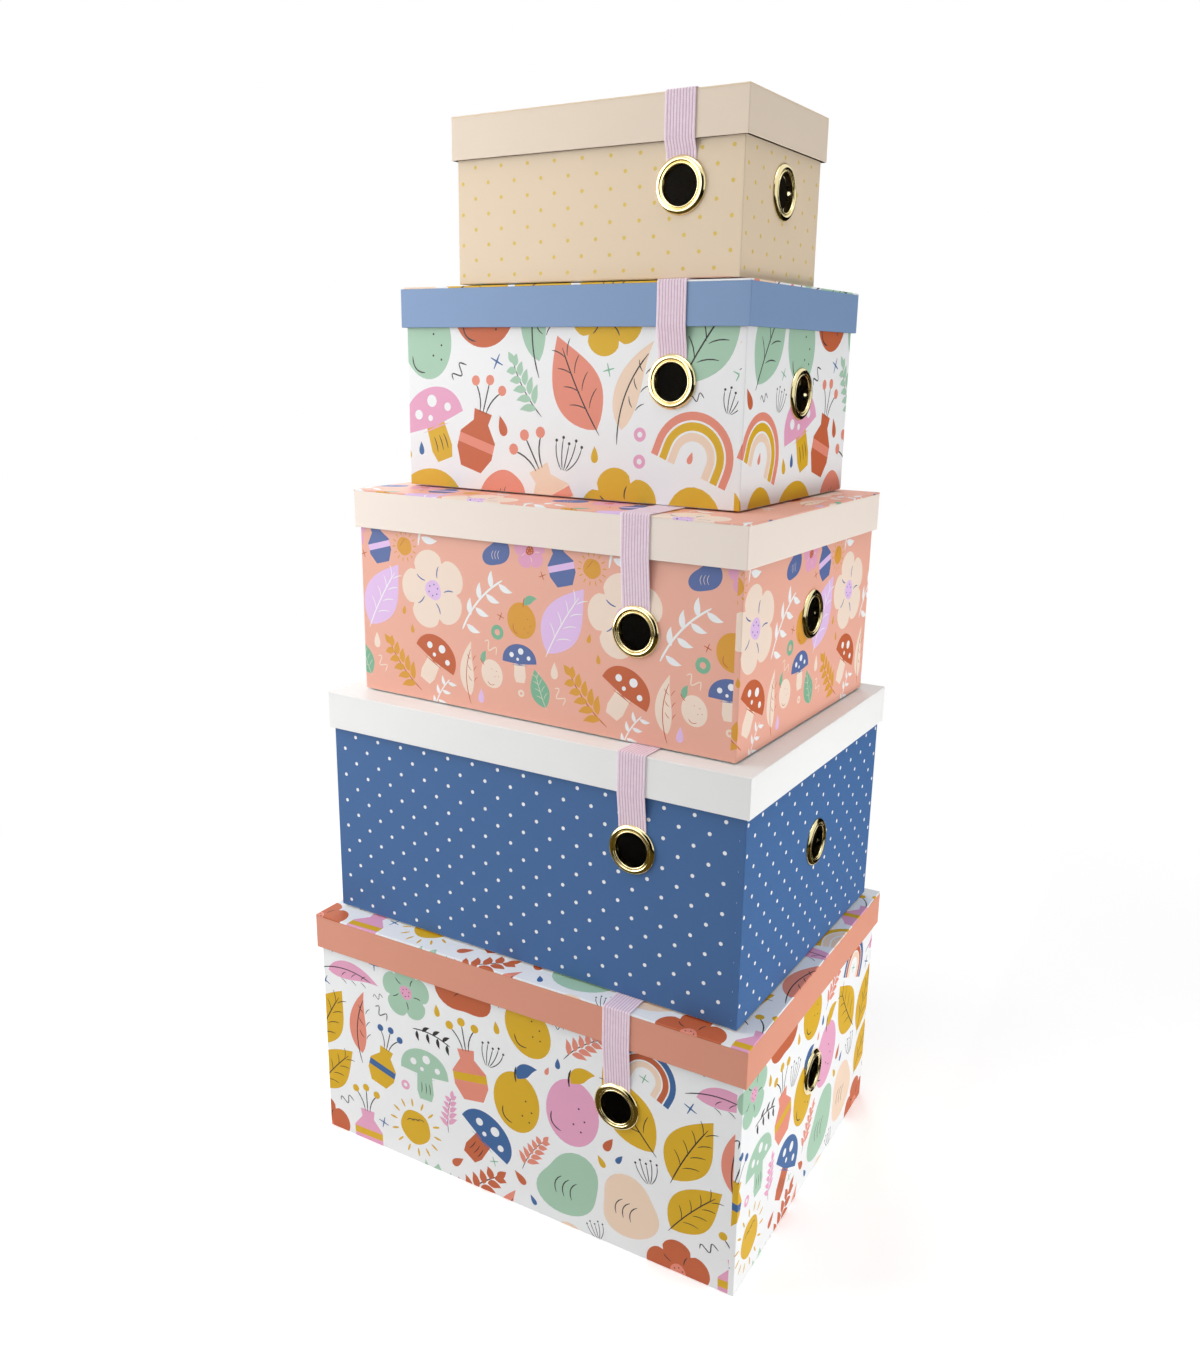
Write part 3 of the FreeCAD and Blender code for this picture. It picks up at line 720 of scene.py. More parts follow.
def cut_sheet(outline, holes, folds, tile, shift=(0.0, 0.0)):
    """Flat points, triangles and each triangle's ink. Without a tile the sheet is plain."""
    rings = [("ground", outline)]
    if tile:
        rings += printed_rings(tile, limits(outline), shift)
    rings += [("hole", hole) for hole in holes]
    points, edges = [], []
    for _, ring in rings:
        first = len(points)
        points.extend(Vector(p) for p in ring)
        edges.extend((first + i, first + (i + 1) % len(ring)) for i in range(len(ring)))
    for start, end in folds:
        edges.append((len(points), len(points) + 1))
        points.extend((Vector(start), Vector(end)))
    flat, _, faces, _, _, _ = delaunay_2d_cdt(points, edges, [], 0, 1e-5, False)
    flat, faces = np.array([p[:] for p in flat]), np.array(faces)
    a, b, c = (flat[faces[:, k]] for k in range(3))
    area = (b[:, 0] - a[:, 0]) * (c[:, 1] - a[:, 1]) - (b[:, 1] - a[:, 1]) * (c[:, 0] - a[:, 0])
    faces = faces[area > 1e-7]
    middles = flat[faces].mean(axis=1)
    inks = np.full(len(faces), "hole", dtype=object)
    for ink, ring in rings:
        low_x, high_x, low_y, high_y = limits(ring)
        near = np.nonzero((middles[:, 0] > low_x) & (middles[:, 0] < high_x)
                          & (middles[:, 1] > low_y) & (middles[:, 1] < high_y))[0]
        if ring is not outline:
            near = near[inks[near] != "hole"]
        inks[near[inside(middles[near], ring)]] = ink
    kept = inks != "hole"
    return flat, faces[kept], list(inks[kept])


square = [(0, 0), (30, 0), (30, 30), (0, 30)]
print("triangles in 30 mm of dotted paper", len(cut_sheet(square, [], [], PRINTS[1][1])[1]))

# %% Folding it and giving it thickness
SHEET_THICK = 0.2  # mm, a little under the paper with its glue, so that it stays inside the solid


def rim_of(faces):
    """The edges that only one triangle has, in the order in which they are met."""
    single = {}
    for a, b, c in faces:
        for p, q in ((a, b), (b, c), (c, a)):
            if (q, p) in single:
                single.pop((q, p))
            else:
                single[(p, q)] = True
    return list(single)


def solid_sheet(name, flat, faces, face_inks, fold, ground, box):
    """The folded sheet as a closed mesh with its materials and true normals."""
    used = np.unique(faces)
    renumber = np.full(len(flat), -1)
    renumber[used] = np.arange(len(used))
    faces = renumber[faces]
    spots, outs = (np.array(part) for part in zip(*(fold(u, v) for u, v in flat[used])))
    count = len(used)
    sides = [(p, p + count, q + count, q) for p, q in rim_of(faces)]
    matrix = np.array(box_matrix(box))
    world = np.vstack([spots, spots - outs * SHEET_THICK]) @ matrix[:3, :3].T + matrix[:3, 3]
    polygons = [list(map(int, f)) for f in faces] + [list(map(int, f[::-1] + count)) for f in faces] + [
        list(map(int, f)) for f in sides]
    mesh = bpy.data.meshes.new(name)
    mesh.from_pydata(world.tolist(), [], polygons)
    slots = sorted(set(face_inks))
    for ink in slots:
        mesh.materials.append(ground if ink == "ground" else paper[ink])
    numbers = [slots.index(ink) for ink in face_inks]
    plain = slots.index("ground") if "ground" in slots else 0
    mesh.polygons.foreach_set("material_index", numbers + [plain] * (len(faces) + len(sides)))
    mesh.polygons.foreach_set("use_smooth", [True] * len(polygons))
    turned = outs @ (matrix[:3, :3] * MM).T  # MM takes the scale out, so that a direction stays 1 long
    normals = [tuple(turned[i]) for f in faces for i in f]
    normals += [tuple(-turned[i]) for f in faces for i in f[::-1]]
    for p, low_p, _, q in sides:
        across = np.cross(world[low_p] - world[p], world[q] - world[p])
        across = across / (np.linalg.norm(across) or 1.0)
        normals += [tuple(across)] * 4
    mesh.normals_split_custom_set(normals)
    mesh.update()
    return in_scene(name, mesh)


def grouped(name, objects):
    """Several sheets as one piece."""
    with bpy.context.temp_override(active_object=objects[0], selected_editable_objects=objects,
                                   selected_objects=objects, object=objects[0]):
        bpy.ops.object.join()
    objects[0].name = name
    objects[0].data.name = name
    return objects[0]


print("edges round a square of two triangles", len(rim_of([(0, 1, 2), (0, 2, 3)])))

# %% [markdown]
# ## Paper round the walls
# The wall sheet starts on the front, just left of the near right-hand corner, runs round the box and comes
# back under its own start. Its start is a paper's thickness proud, which gives the upright seam near the
# corner. At each corner the sheet bends over a small radius, and it curls over the rim and under the base.
# A bend could come from a bevelled box, but then the print would have to be laid on each wall by itself. A
# function from the flat sheet to the folded one carries the print round every corner unbroken.

# %% Round-the-box folding
EDGE_R = 0.75   # mm, outer radius of the upright folds
RIM_FOLD = 0.4  # mm, radius of the folds over a rim and under the base


def wall_fold(half_l, half_d, low, high, seam, fold_high=RIM_FOLD):
    """fold(u, v) for a sheet that runs round a box, then its length, its two edges and its fold lines.
    With fold_high 0 the upper edge is cut straight."""
    straight = [half_d * 2 - 2 * EDGE_R, half_l * 2 - 2 * EDGE_R] * 2
    arc = math.pi / 2 * EDGE_R
    start = seam - EDGE_R
    corners = [((1, -1), -math.pi / 2), ((1, 1), 0.0), ((-1, 1), math.pi / 2), ((-1, -1), math.pi)]
    marks = []
    at = start
    for i in range(4):
        marks.append((at, at + arc))
        at += arc + straight[i]
    length = marks[3][1] + straight[3] - start
    bend_low, bend_high = math.pi / 2 * RIM_FOLD, math.pi / 2 * fold_high

    def round_it(u):
        """Place and outward direction at a distance along the sheet."""
        if u <= marks[0][0]:
            return Vector((half_l - EDGE_R - (marks[0][0] - u), -half_d, 0)), Vector((0, -1, 0))
        for i in range(4):
            (sx, sy), first = corners[i]
            centre = Vector((sx * (half_l - EDGE_R), sy * (half_d - EDGE_R), 0))
            begin, end = marks[i]
            if u <= end:
                angle = first + (u - begin) / EDGE_R
                out = Vector((math.cos(angle), math.sin(angle), 0))
                return centre + out * EDGE_R, out
            if i == 3 or u < marks[i + 1][0]:
                angle = first + math.pi / 2
                out = Vector((round(math.cos(angle)), round(math.sin(angle)), 0))
                along = Vector((-out.y, out.x, 0))
                return centre + out * EDGE_R + along * (u - end), out

    def lift(u):
        """The start of the sheet lies over its end."""
        if u >= marks[0][1]:
            return 0.0
        return PAPER * min(1.0, max(0.0, (marks[0][1] - u) / (marks[0][1] - marks[0][0])))

    def fold(u, v):
        spot, out = round_it(u)
        tilt, inset, z = 0.0, 0.0, v
        if v < low + RIM_FOLD:
            turn = (low + RIM_FOLD - v) / RIM_FOLD
            tilt = -min(turn, math.pi / 2)
            inset = RIM_FOLD * (1 - math.cos(tilt)) + max(0.0, (turn - math.pi / 2) * RIM_FOLD)
            z = low + RIM_FOLD + RIM_FOLD * math.sin(tilt)
        elif fold_high and v > high - fold_high:
            turn = (v - high + fold_high) / fold_high
            tilt = min(turn, math.pi / 2)
            inset = fold_high * (1 - math.cos(tilt)) + max(0.0, (turn - math.pi / 2) * fold_high)
            z = high - fold_high + fold_high * math.sin(tilt)
        normal = out * math.cos(tilt) + Vector((0, 0, math.sin(tilt)))
        place = spot - out * inset + Vector((0, 0, z)) + normal * lift(u)
        return tuple(place), tuple(normal)

    v_low = low + RIM_FOLD - bend_low
    v_high = high - fold_high + bend_high if fold_high else high
    steps_u = [begin + (end - begin) * k / 4 for begin, end in marks for k in range(5)]
    steps_v = [v_low + bend_low * k / 3 for k in range(1, 4)]
    if fold_high:
        steps_v += [v_high - bend_high * k / 3 for k in range(1, 4)]
    return fold, length, (v_low, v_high), steps_u, steps_v, marks


print("sheet round a 100 x 60 mm box, mm", round(wall_fold(50, 30, 0, 40, 4.2)[1], 1))

# %% Turned-in edges


def strip_sheets(name, box, half_l, half_d, edge_z, inward, down, ground, tile, marks, shift):
    """Paper turned over an edge and in along the board: four strips with mitred ends. It reaches down by
    so many mm, or up if down is below zero."""
    sides = [((1, 0), half_d, half_l, (marks[0][1] + marks[1][0]) / 2),
             ((0, 1), half_l, half_d, (marks[1][1] + marks[2][0]) / 2),
             ((-1, 0), half_d, half_l, (marks[2][1] + marks[3][0]) / 2),
             ((0, -1), half_l, half_d, marks[3][1] + half_l - EDGE_R)]
    top = inward - RIM_FOLD
    end = top + abs(down)
    made = []
    for (ox, oy), half, out, middle in sides:
        out_v, along = Vector((ox, oy, 0)), Vector((-oy, ox, 0))
        ring = [(middle - half + RIM_FOLD, 0.0), (middle + half - RIM_FOLD, 0.0),
                (middle + half - inward, top), (middle + half - inward, end),
                (middle - half + inward, end), (middle - half + inward, top)]

        def fold(u, v, out_v=out_v, along=along, middle=middle, out=out):
            across = along * (u - middle)
            if v <= top + 1e-6:
                flat = out_v * (out - RIM_FOLD - v) + across
                return (flat.x, flat.y, edge_z), (0.0, 0.0, 1.0 if down > 0 else -1.0)
            flat = out_v * (out - inward) + across
            return (flat.x, flat.y, edge_z - (v - top) * math.copysign(1, down)), tuple(-out_v)

        lines = [((middle - half, top), (middle + half, top))]
        flat, faces, inks = cut_sheet(ring, [], lines, tile, (shift[0], shift[1] - edge_z))
        made.append(solid_sheet(f"{name}_{len(made)}", flat, faces, inks, fold, ground, box))
    return made


print("an edge folds over", BOARD + 2 * PAPER, "mm of covered board")

# %% [markdown]
# ## The trays' covers
# One printed sheet goes round each tray and turns in at the rim. It has four punched holes, one in each
# wall, whose edges lie under the flanges. Cutting the holes from a finished box with a boolean would break
# the print's outlines. Here they are rings in the same triangulation, cut while the sheet is flat.

# %% Tray covers
TRAY_SEAM, TRAY_LAP = 4.2, 2.6  # mm from the near corner to the seam, and mm of paper under it
HOLE_R = 13.2                   # mm, a little wider than the board's hole
TURN_IN = 15.0                  # mm of paper inside the rim


def tray_cover(box):
    """The printed sheet round a tray, with its holes and its turned-in rim."""
    size = SIZES[box]
    half_l, half_d = size["length"] / 2 - OVERHANG, size["depth"] / 2 - OVERHANG
    rim = size["tall"] - RIM_DROP
    fold, length, (v_low, v_high), steps_u, steps_v, marks = wall_fold(half_l, half_d, PAPER, rim,
                                                                       TRAY_SEAM)
    end = length + TRAY_LAP
    outline = [(0, v_low), (end, v_low), (end, v_high), (0, v_high)]
    hole_x = size["length"] / 2 - size["strap_in"]
    front_u = length - (half_l - hole_x) + TRAY_SEAM
    back_u = marks[1][1] + (half_l - EDGE_R) - hole_x
    right_u, left_u = (marks[0][1] + marks[1][0]) / 2, (marks[2][1] + marks[3][0]) / 2
    holes = [disc(u, size[height], HOLE_R, 32) for u, height in (
        (front_u, "front_hole"), (back_u, "front_hole"), (right_u, "side_hole"), (left_u, "side_hole"))]
    folds = [((u, v_low - 1), (u, v_high + 1)) for u in steps_u]
    folds += [((-1, v), (end + 1, v)) for v in steps_v]
    ground, tile = PRINTS[box]
    ground = paper[ground]
    shift = (37.0 * box, 11.0 * box)
    flat, faces, inks = cut_sheet(outline, holes, folds, tile, shift)
    walls = solid_sheet(f"box{box}_tray_paper", flat, faces, inks, fold, ground, box)
    strips = strip_sheets(f"box{box}_turned_in", box, half_l, half_d, rim, PAPER + BOARD + PAPER, TURN_IN,
                          ground, tile, marks, shift)
    cover = grouped(f"box{box}_tray_cover", [walls] + strips)
    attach(cover, f"tray_{box}")
    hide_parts(f"box{box}_tray_wrap")
    print(cover.name, "faces", len(cover.data.polygons))


for box in SIZES:
    tray_cover(box)

# %% [markdown]
# ## The lids' covers
# The skirt paper runs round the lid like the wall sheet and turns in at the lower edge. The top paper is a
# separate printed sheet: it rolls over the top edge and ends little more than a millimetre down the skirt,
# which shows as a fine line from the side. One sheet could cover the whole lid, but the real lid has two
# papers in two colours, and the line between them is the join that the eye finds.

# %% Skirt papers
LID_SEAM, LID_LAP = 1.6, 0.7  # mm from the near corner to the seam, and mm of paper under it
LID_FOLD = 0.7                # mm, radius of the top paper's roll
TOP_LAP = 0.6                 # mm of top paper below the roll


def lid_cover(box):
    """The plain paper round a lid's skirt, which ends under the top paper."""
    size = SIZES[box]
    half_l, half_d = size["length"] / 2, size["depth"] / 2
    low, high = size["tall"] - SKIRT, size["tall"]
    skirt_top = high - LID_FOLD - TOP_LAP + 0.15
    fold, length, (v_low, _), steps_u, steps_v, marks = wall_fold(half_l, half_d, low, skirt_top, LID_SEAM,
                                                                  fold_high=0)
    end = length + LID_LAP
    outline = [(0, v_low), (end, v_low), (end, skirt_top), (0, skirt_top)]
    folds = [((u, v_low - 1), (u, skirt_top + 1)) for u in steps_u]
    folds += [((-1, v), (length + 2, v)) for v in steps_v]
    flat, faces, inks = cut_sheet(outline, [], folds, None)
    skirt = solid_sheet(f"box{box}_skirt_paper", flat, faces, inks, fold, skirt_paper[box], box)
    strips = strip_sheets(f"box{box}_skirt_turned_in", box, half_l, half_d, low, PAPER + BOARD + PAPER,
                          -TURN_IN, skirt_paper[box], None, marks, (0, 0))
    cover = grouped(f"box{box}_lid_cover", [skirt] + strips)
    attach(cover, f"lid_{box}")
    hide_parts(f"box{box}_lid_wrap")
    print(cover.name, "faces", len(cover.data.polygons))


print("a skirt's paper stands", SKIRT - LID_FOLD - TOP_LAP, "mm high")

# %% Top papers, and both made


def top_sheet(box):
    """The printed top: flat in the middle, rolled over all four edges."""
    size = SIZES[box]
    half_l, half_d, tall = size["length"] / 2, size["depth"] / 2, size["tall"]
    roll, flat_part = math.pi / 2 * LID_FOLD, EDGE_R - LID_FOLD
    core_x, core_y = half_l - EDGE_R, half_d - EDGE_R

    def fold(u, v):
        """Flat distance from a rounded core becomes distance along the rolled edge."""
        cx, cy = max(-core_x, min(core_x, u)), max(-core_y, min(core_y, v))
        out = Vector((u - cx, v - cy, 0))
        far = out.length
        if far <= flat_part:
            return (u, v, tall), (0.0, 0.0, 1.0)
        out /= far
        bend = (far - flat_part) / LID_FOLD
        if bend <= math.pi / 2:
            level, drop_z = flat_part + LID_FOLD * math.sin(bend), LID_FOLD * (1 - math.cos(bend))
            normal = out * math.sin(bend) + Vector((0, 0, math.cos(bend)))
        else:
            level, drop_z = EDGE_R, LID_FOLD + (bend - math.pi / 2) * LID_FOLD
            normal = out
        return (cx + out.x * level, cy + out.y * level, tall - drop_z), tuple(normal)

    def ring(grow):
        """A rounded rectangle at a flat distance beyond the core."""
        points = []
        for sx, sy, first in ((1, 1, 0), (-1, 1, 90), (-1, -1, 180), (1, -1, 270)):
            for k in range(5):
                angle = math.radians(first + 22.5 * k)
                points.append((sx * core_x + grow * math.cos(angle), sy * core_y + grow * math.sin(angle)))
        return points

    folds = []
    for grow in [flat_part + roll * k / 4 for k in range(5)]:
        points = ring(grow)
        folds += [(points[i], points[(i + 1) % len(points)]) for i in range(len(points))]
    ground, tile = PRINTS[box]
    ground = paper[ground]
    if box == 4:  # plain white, like its skirt
        ground, tile = skirt_paper[4], None
    edge = EDGE_R + roll + TOP_LAP - LID_FOLD
    flat, faces, inks = cut_sheet(ring(edge), [], folds, tile, (13.0 * box, 71.0 * box))
    sheet = solid_sheet(f"box{box}_lid_top_paper", flat, faces, inks, fold, ground, box)
    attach(sheet, f"lid_{box}")
    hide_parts(f"box{box}_lid_top_sheet")
    print(sheet.name, "faces", len(sheet.data.polygons))


for box in SIZES:
    lid_cover(box)
    top_sheet(box)

# %% [markdown]
# ## Elastic straps
# A flat woven elastic, 22 mm wide: rubber cords run lengthwise, and the pink yarn between them makes fine
# ribs. It is held under the front flange, runs over the lid and down to the back flange, and stretches when
# the lid is lifted. A flat band with painted stripes would do from afar, but light would cross it as if it
# were card. So the ribs are in the mesh, their grooves get a darker pink as painted shade, and only the
# cross threads are a bump. One cross-section is swept along the strap's path, so the ribs follow every
# bend.

# %% Elastic material
YARN = 0.9   # mm from one cross thread to the next, coarser than real yarn, so that it can be seen
SLUB = 3.0   # mm, the length over which the dye changes
BANDS = 3.2  # bands of a wave texture in one unit at scale 1


def woven_elastic(name, dark, pale):
    """Soft yarn: matt, with a faint sheen at its edges, fine cross threads and slightly uneven dye."""
    material, tree, output, place = start_material(name)
    yarn = add(tree, "ShaderNodeTexWave", {"bands_direction": "Z"}, Vector=place,
               Scale=MM / YARN / BANDS, Distortion=1.2, Detail=2.0)
    slub = add(tree, "ShaderNodeTexNoise", Vector=place, Scale=MM / SLUB, Detail=2.0)
    tone = add(tree, "ShaderNodeMix", {"data_type": "RGBA"}, Factor=slub.outputs[0], i6=linear(dark),
               i7=linear(pale))
    relief = add(tree, "ShaderNodeBump", Strength=0.35, Distance=0.0004, Height=yarn.outputs[1])
    shader = add(tree, "ShaderNodeBsdfPrincipled", Base_Color=tone.outputs[2], Roughness=0.78,
                 Normal=relief.outputs[0])
    shader.inputs["Sheen Weight"].default_value = 0.35
    shader.inputs["Sheen Roughness"].default_value = 0.4
    finish_material(tree, output, shader)
    return material


elastic = woven_elastic("woven_elastic_pink", "#F0D6E6", "#FAEAF4")
# a darker pink for the groove faces between the ribs: painted shade where the ribs shade the grooves
elastic_painted_groove_shade = woven_elastic("woven_elastic_pink_painted_groove_shade", "#D3AEC4", "#E0C0D3")
print("yarns", elastic.name, elastic_painted_groove_shade.name)

# %% The strap's path
STRAP_THICK, STRAP_GAP = 0.8, 0.2  # mm, the elastic and its play over the lid
PLAY = 0.05                        # mm between the elastic and the tray's paper
RIM_R = 18.0                       # mm, radius of an eyelet's flange
TUCK = 13.2                        # mm from the hole's middle to the strap's end under the flange
PRESSED = 0.55                     # share of its thickness that the flange leaves
EDGE_BEND = 1.1                    # mm, the strap's radius over the lid's edge


def strap_path(box):
    """(distance out, height, share of its thickness) along the strap, front end to back end."""
    size = SIZES[box]
    tray_half, lid_half = size["depth"] / 2 - OVERHANG, size["depth"] / 2
    skirt_low, tall = size["tall"] - SKIRT, size["tall"]
    half = STRAP_THICK / 2
    tail, free = size["front_hole"] + TUCK, size["front_hole"] + RIM_R + 0.2
    pressed, flat = tray_half + PLAY + PRESSED * half, tray_half + PLAY + half
    side = [(pressed, tail, PRESSED), (pressed, tail + 1.8, PRESSED), (pressed, tail + 3.4, PRESSED),
            (flat, free + 0.6, 1.0), (flat, free + 2.0, 1.0)]
    out, lip = lid_half + STRAP_GAP + half, skirt_low + 0.6
    steps = max(3, int((skirt_low - free - 2) / 3))
    first = side[-1]
    side += [(first[0] + (out - first[0]) * k / steps, first[1] + (lip - first[1]) * k / steps, 1.0)
             for k in range(1, steps + 1)]
    top_z = tall + STRAP_GAP + half
    side += [(out, lip + (top_z - EDGE_BEND - lip) * k / 9, 1.0) for k in range(1, 10)]
    side += [(out - EDGE_BEND + EDGE_BEND * math.cos(a), top_z - EDGE_BEND + EDGE_BEND * math.sin(a), 1.0)
             for a in [math.pi / 8 * k for k in range(1, 5)]]
    across = [(side[-1][0] * (1 - 2 * k / 12), top_z, 1.0) for k in range(1, 12)]
    return [(-y, z, t) for y, z, t in side] + [(-y, z, t) for y, z, t in across] + side[::-1]


for box in SIZES:
    print("box", box, "strap from end to end, mm", round(sum(
        math.dist(a[:2], b[:2]) for a, b in zip(strap_path(box), strap_path(box)[1:]))))

# %% Strap mesh
STRAP_WIDE = 22.0              # mm
RIBS, RIB_DEEP = 10, 0.30      # count, and mm from a rib's top to its groove
PER_RIB = 6                    # strips across each rib
EDGE_THICK = 0.16              # mm, half the thickness that is left in a groove and at the edge


def ribbed_section():
    """(across, up) points round the elastic, top first."""
    columns = RIBS * PER_RIB
    upper = []
    for i in range(columns + 1):
        share = i / columns
        ridge = abs(math.sin(math.pi * RIBS * share)) ** 0.4
        half = STRAP_THICK / 2 - RIB_DEEP * (1 - ridge)
        upper.append(((share - 0.5) * (STRAP_WIDE - 0.3), max(EDGE_THICK, half if 0 < i < columns else 0)))
    return upper + [(x, -half) for x, half in reversed(upper[1:-1])]


def strap(box):
    """The section swept along the path, closed at both ends, and blended from tray to lid."""
    size, path, section = SIZES[box], strap_path(box), ribbed_section()
    middle_x = size["length"] / 2 - size["strap_in"]
    vertices, faces = [], []
    for i, (y, z, share) in enumerate(path):
        (ay, az, _), (by, bz, _) = path[max(i - 1, 0)], path[min(i + 1, len(path) - 1)]
        apart = math.hypot(by - ay, bz - az)
        ny, nz = -(bz - az) / apart, (by - ay) / apart
        vertices += [(middle_x + x, y + ny * t * share, z + nz * t * share) for x, t in section]
    ring = len(section)
    for i in range(len(path) - 1):
        for j in range(ring):
            a, b = i * ring + j, i * ring + (j + 1) % ring
            faces.append((a, a + ring, b + ring, b))
    faces.append(tuple(range(ring)))
    faces.append(tuple(reversed(range(len(vertices) - ring, len(vertices)))))
    mesh = bpy.data.meshes.new(f"box{box}_elastic_strap")
    mesh.from_pydata([tuple(box_matrix(box) @ Vector(p)) for p in vertices], [], faces)
    mesh.polygons.foreach_set("use_smooth", [True] * (len(faces) - 2) + [False] * 2)
    mesh.materials.append(elastic)
    mesh.materials.append(elastic_painted_groove_shade)
    columns = RIBS * PER_RIB
    # the faces at the foot of each rib take the darker pink, as painted shade in the grooves
    painted_groove_faces = [int(j % columns % PER_RIB in (0, PER_RIB - 1) and 0 < j % columns < columns - 1)
               for j in range(ring)]
    mesh.polygons.foreach_set("material_index", painted_groove_faces * (len(path) - 1) + [0, 0])
    obj = in_scene(mesh.name, mesh)
    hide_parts(f"box{box}_strap")
    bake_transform(obj)
    return obj


straps = [strap(box) for box in SIZES]
print("straps", len(straps), "faces each", len(straps[0].data.polygons))

# %% [markdown]
# ## Brass eyelets
# A finger eyelet is pressed from thin brass sheet and polished: a domed flange, a groove, a raised ring
# round the throat, and a clinched washer on the inside. Cylinders and rings put together would do, but they
# would meet in hard seams. Here one line is turned round the hole's axis, as on a lathe, so light runs over
# the whole flange without a break. Brass is a metal, so it has no diffuse colour. Its look is all
# reflection, slightly blurred by fine polishing marks.

# %% Brass
POLISH, TARNISH = 5.0, 9.0  # mm, the size of the polish's unevenness and of the tarnish


def polished_brass():
    """Pale yellow reflections, sharp but not mirror-like, with a touch more red where it has tarnished."""
    material, tree, output, place = start_material("polished_brass")
    marks = add(tree, "ShaderNodeTexNoise", Vector=place, Scale=MM / POLISH, Detail=2.0)
    tarnish = add(tree, "ShaderNodeTexNoise", Vector=place, Scale=MM / TARNISH, Detail=2.0)
    tone = add(tree, "ShaderNodeMix", {"data_type": "RGBA"}, Factor=tarnish.outputs[0],
               i6=linear("#EEDDA6"), i7=linear("#F5E8B8"))
    gloss = add(tree, "ShaderNodeMapRange", Value=marks.outputs[0], i1=0.3, i2=0.7, i3=0.10, i4=0.16)
    relief = add(tree, "ShaderNodeBump", Strength=0.01, Distance=0.0001, Height=marks.outputs[0])
    shader = add(tree, "ShaderNodeBsdfPrincipled", Base_Color=tone.outputs[2], Metallic=1.0,
                 Roughness=gloss.outputs[0], Normal=relief.outputs[0])
    finish_material(tree, output, shader)
    return material


brass = polished_brass()
print("metal", brass.name)

# %% Eyelet mesh
# (radius, height over the paper) in mm, from the flange's rim over the dome, the groove and the inner ring,
# through the throat and round the clinched washer, then back along the sheet's other face
EYELET_LINE = [
    (17.75, 0.03), (17.98, 0.2), (17.98, 0.45), (17.8, 0.9), (17.4, 1.4), (16.85, 1.85), (16.2, 2.2),
    (15.5, 2.38), (14.9, 2.34), (14.4, 2.1), (14.05, 1.7), (13.9, 1.25), (13.8, 1.1), (13.68, 1.25),
    (13.6, 1.6), (13.4, 1.95), (13.1, 2.1), (12.8, 2.05), (12.55, 1.8), (12.4, 1.4), (12.32, 0.8),
    (12.3, -0.5), (12.3, -2.6), (12.35, -3.0), (12.6, -3.4), (13.1, -3.6), (14.0, -3.5), (15.2, -3.2),
    (16.2, -2.9), (16.7, -2.6), (16.75, -2.35), (16.5, -2.28), (13.0, -2.28), (12.85, -2.2), (12.85, 0.6),
    (12.95, 1.2), (13.15, 1.4), (13.35, 0.9), (13.8, 0.58), (14.25, 0.85), (14.6, 1.5), (15.5, 1.86),
    (16.2, 1.7), (16.9, 1.2), (17.35, 0.6), (17.5, 0.03),
]
EYELET_STEPS = 96  # round the hole, enough for a smooth edge up close


def eyelet_points(centre, out, up_way):
    """The line turned round the hole's axis, in box millimetres."""
    side = up_way.cross(out)
    points = []
    for i in range(EYELET_STEPS):
        angle = math.tau * i / EYELET_STEPS
        radial = up_way * math.cos(angle) + side * math.sin(angle)
        points += [centre + radial * r + out * h for r, h in EYELET_LINE]
    return points


def eyelets(box):
    """The box's four eyelets as one piece: front, back, right and left."""
    size = SIZES[box]
    half_l, half_d = size["length"] / 2 - OVERHANG, size["depth"] / 2 - OVERHANG
    hole_x = size["length"] / 2 - size["strap_in"]
    seats = [((hole_x, -half_d, size["front_hole"]), (0, -1, 0)),
             ((hole_x, half_d, size["front_hole"]), (0, 1, 0)),
             ((half_l, 0, size["side_hole"]), (1, 0, 0)),
             ((-half_l, 0, size["side_hole"]), (-1, 0, 0))]
    vertices, faces = [], []
    line = len(EYELET_LINE)
    for centre, out in seats:
        base = len(vertices)
        vertices += eyelet_points(Vector(centre), Vector(out), Vector((0, 0, 1)))
        for i in range(EYELET_STEPS):
            here, after = base + i * line, base + (i + 1) % EYELET_STEPS * line
            for j in range(line):
                following = (j + 1) % line
                faces.append((here + j, here + following, after + following, after + j))
    mesh = bpy.data.meshes.new(f"box{box}_brass_eyelets")
    mesh.from_pydata([tuple(box_matrix(box) @ p) for p in vertices], [], faces)
    mesh.polygons.foreach_set("use_smooth", [True] * len(faces))
    mesh.materials.append(brass)
    obj = in_scene(mesh.name, mesh)
    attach(obj, f"tray_{box}")
    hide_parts(f"box{box}_eyelets")
    return obj


rings = [eyelets(box) for box in SIZES]
volume = sum(f.center.dot(f.normal) * f.area / 3 for f in rings[0].data.polygons) * 1e9
print("eyelet volume per box, mm3 (positive when faces look outwards)", round(volume, 1))

# %% [markdown]
# ## Floor, backdrop and light
# The boxes stand on a plain pale floor in soft studio light: a large softbox to the front left, one
# overhead, one behind on the left, and a small low one on the right that lifts the shaded walls. One sun
# lamp would be simpler, but it draws a hard shadow under every lid. The camera and mirrors see a white
# surround, which lights the scene at less than a third of that. Brass shows what stands round it, and in an
# all-white room it would look like white plastic. So dark and ochre cards stand and lie round the stack,
# seen by reflections alone, as a photographer's flags are, though they neither block nor bounce light: they
# are painted dark reflections in the brass. A white card that glows, though it is no lamp, is seen the same
# way and puts a painted highlight on the brass.

# %% The floor's material
FLOOR_GLOW = 0.30     # light that the near floor adds to what falls on it
NEAR, FAR = 0.35, 1.0  # m from the stack's middle, where the floor starts to fade and where it is white


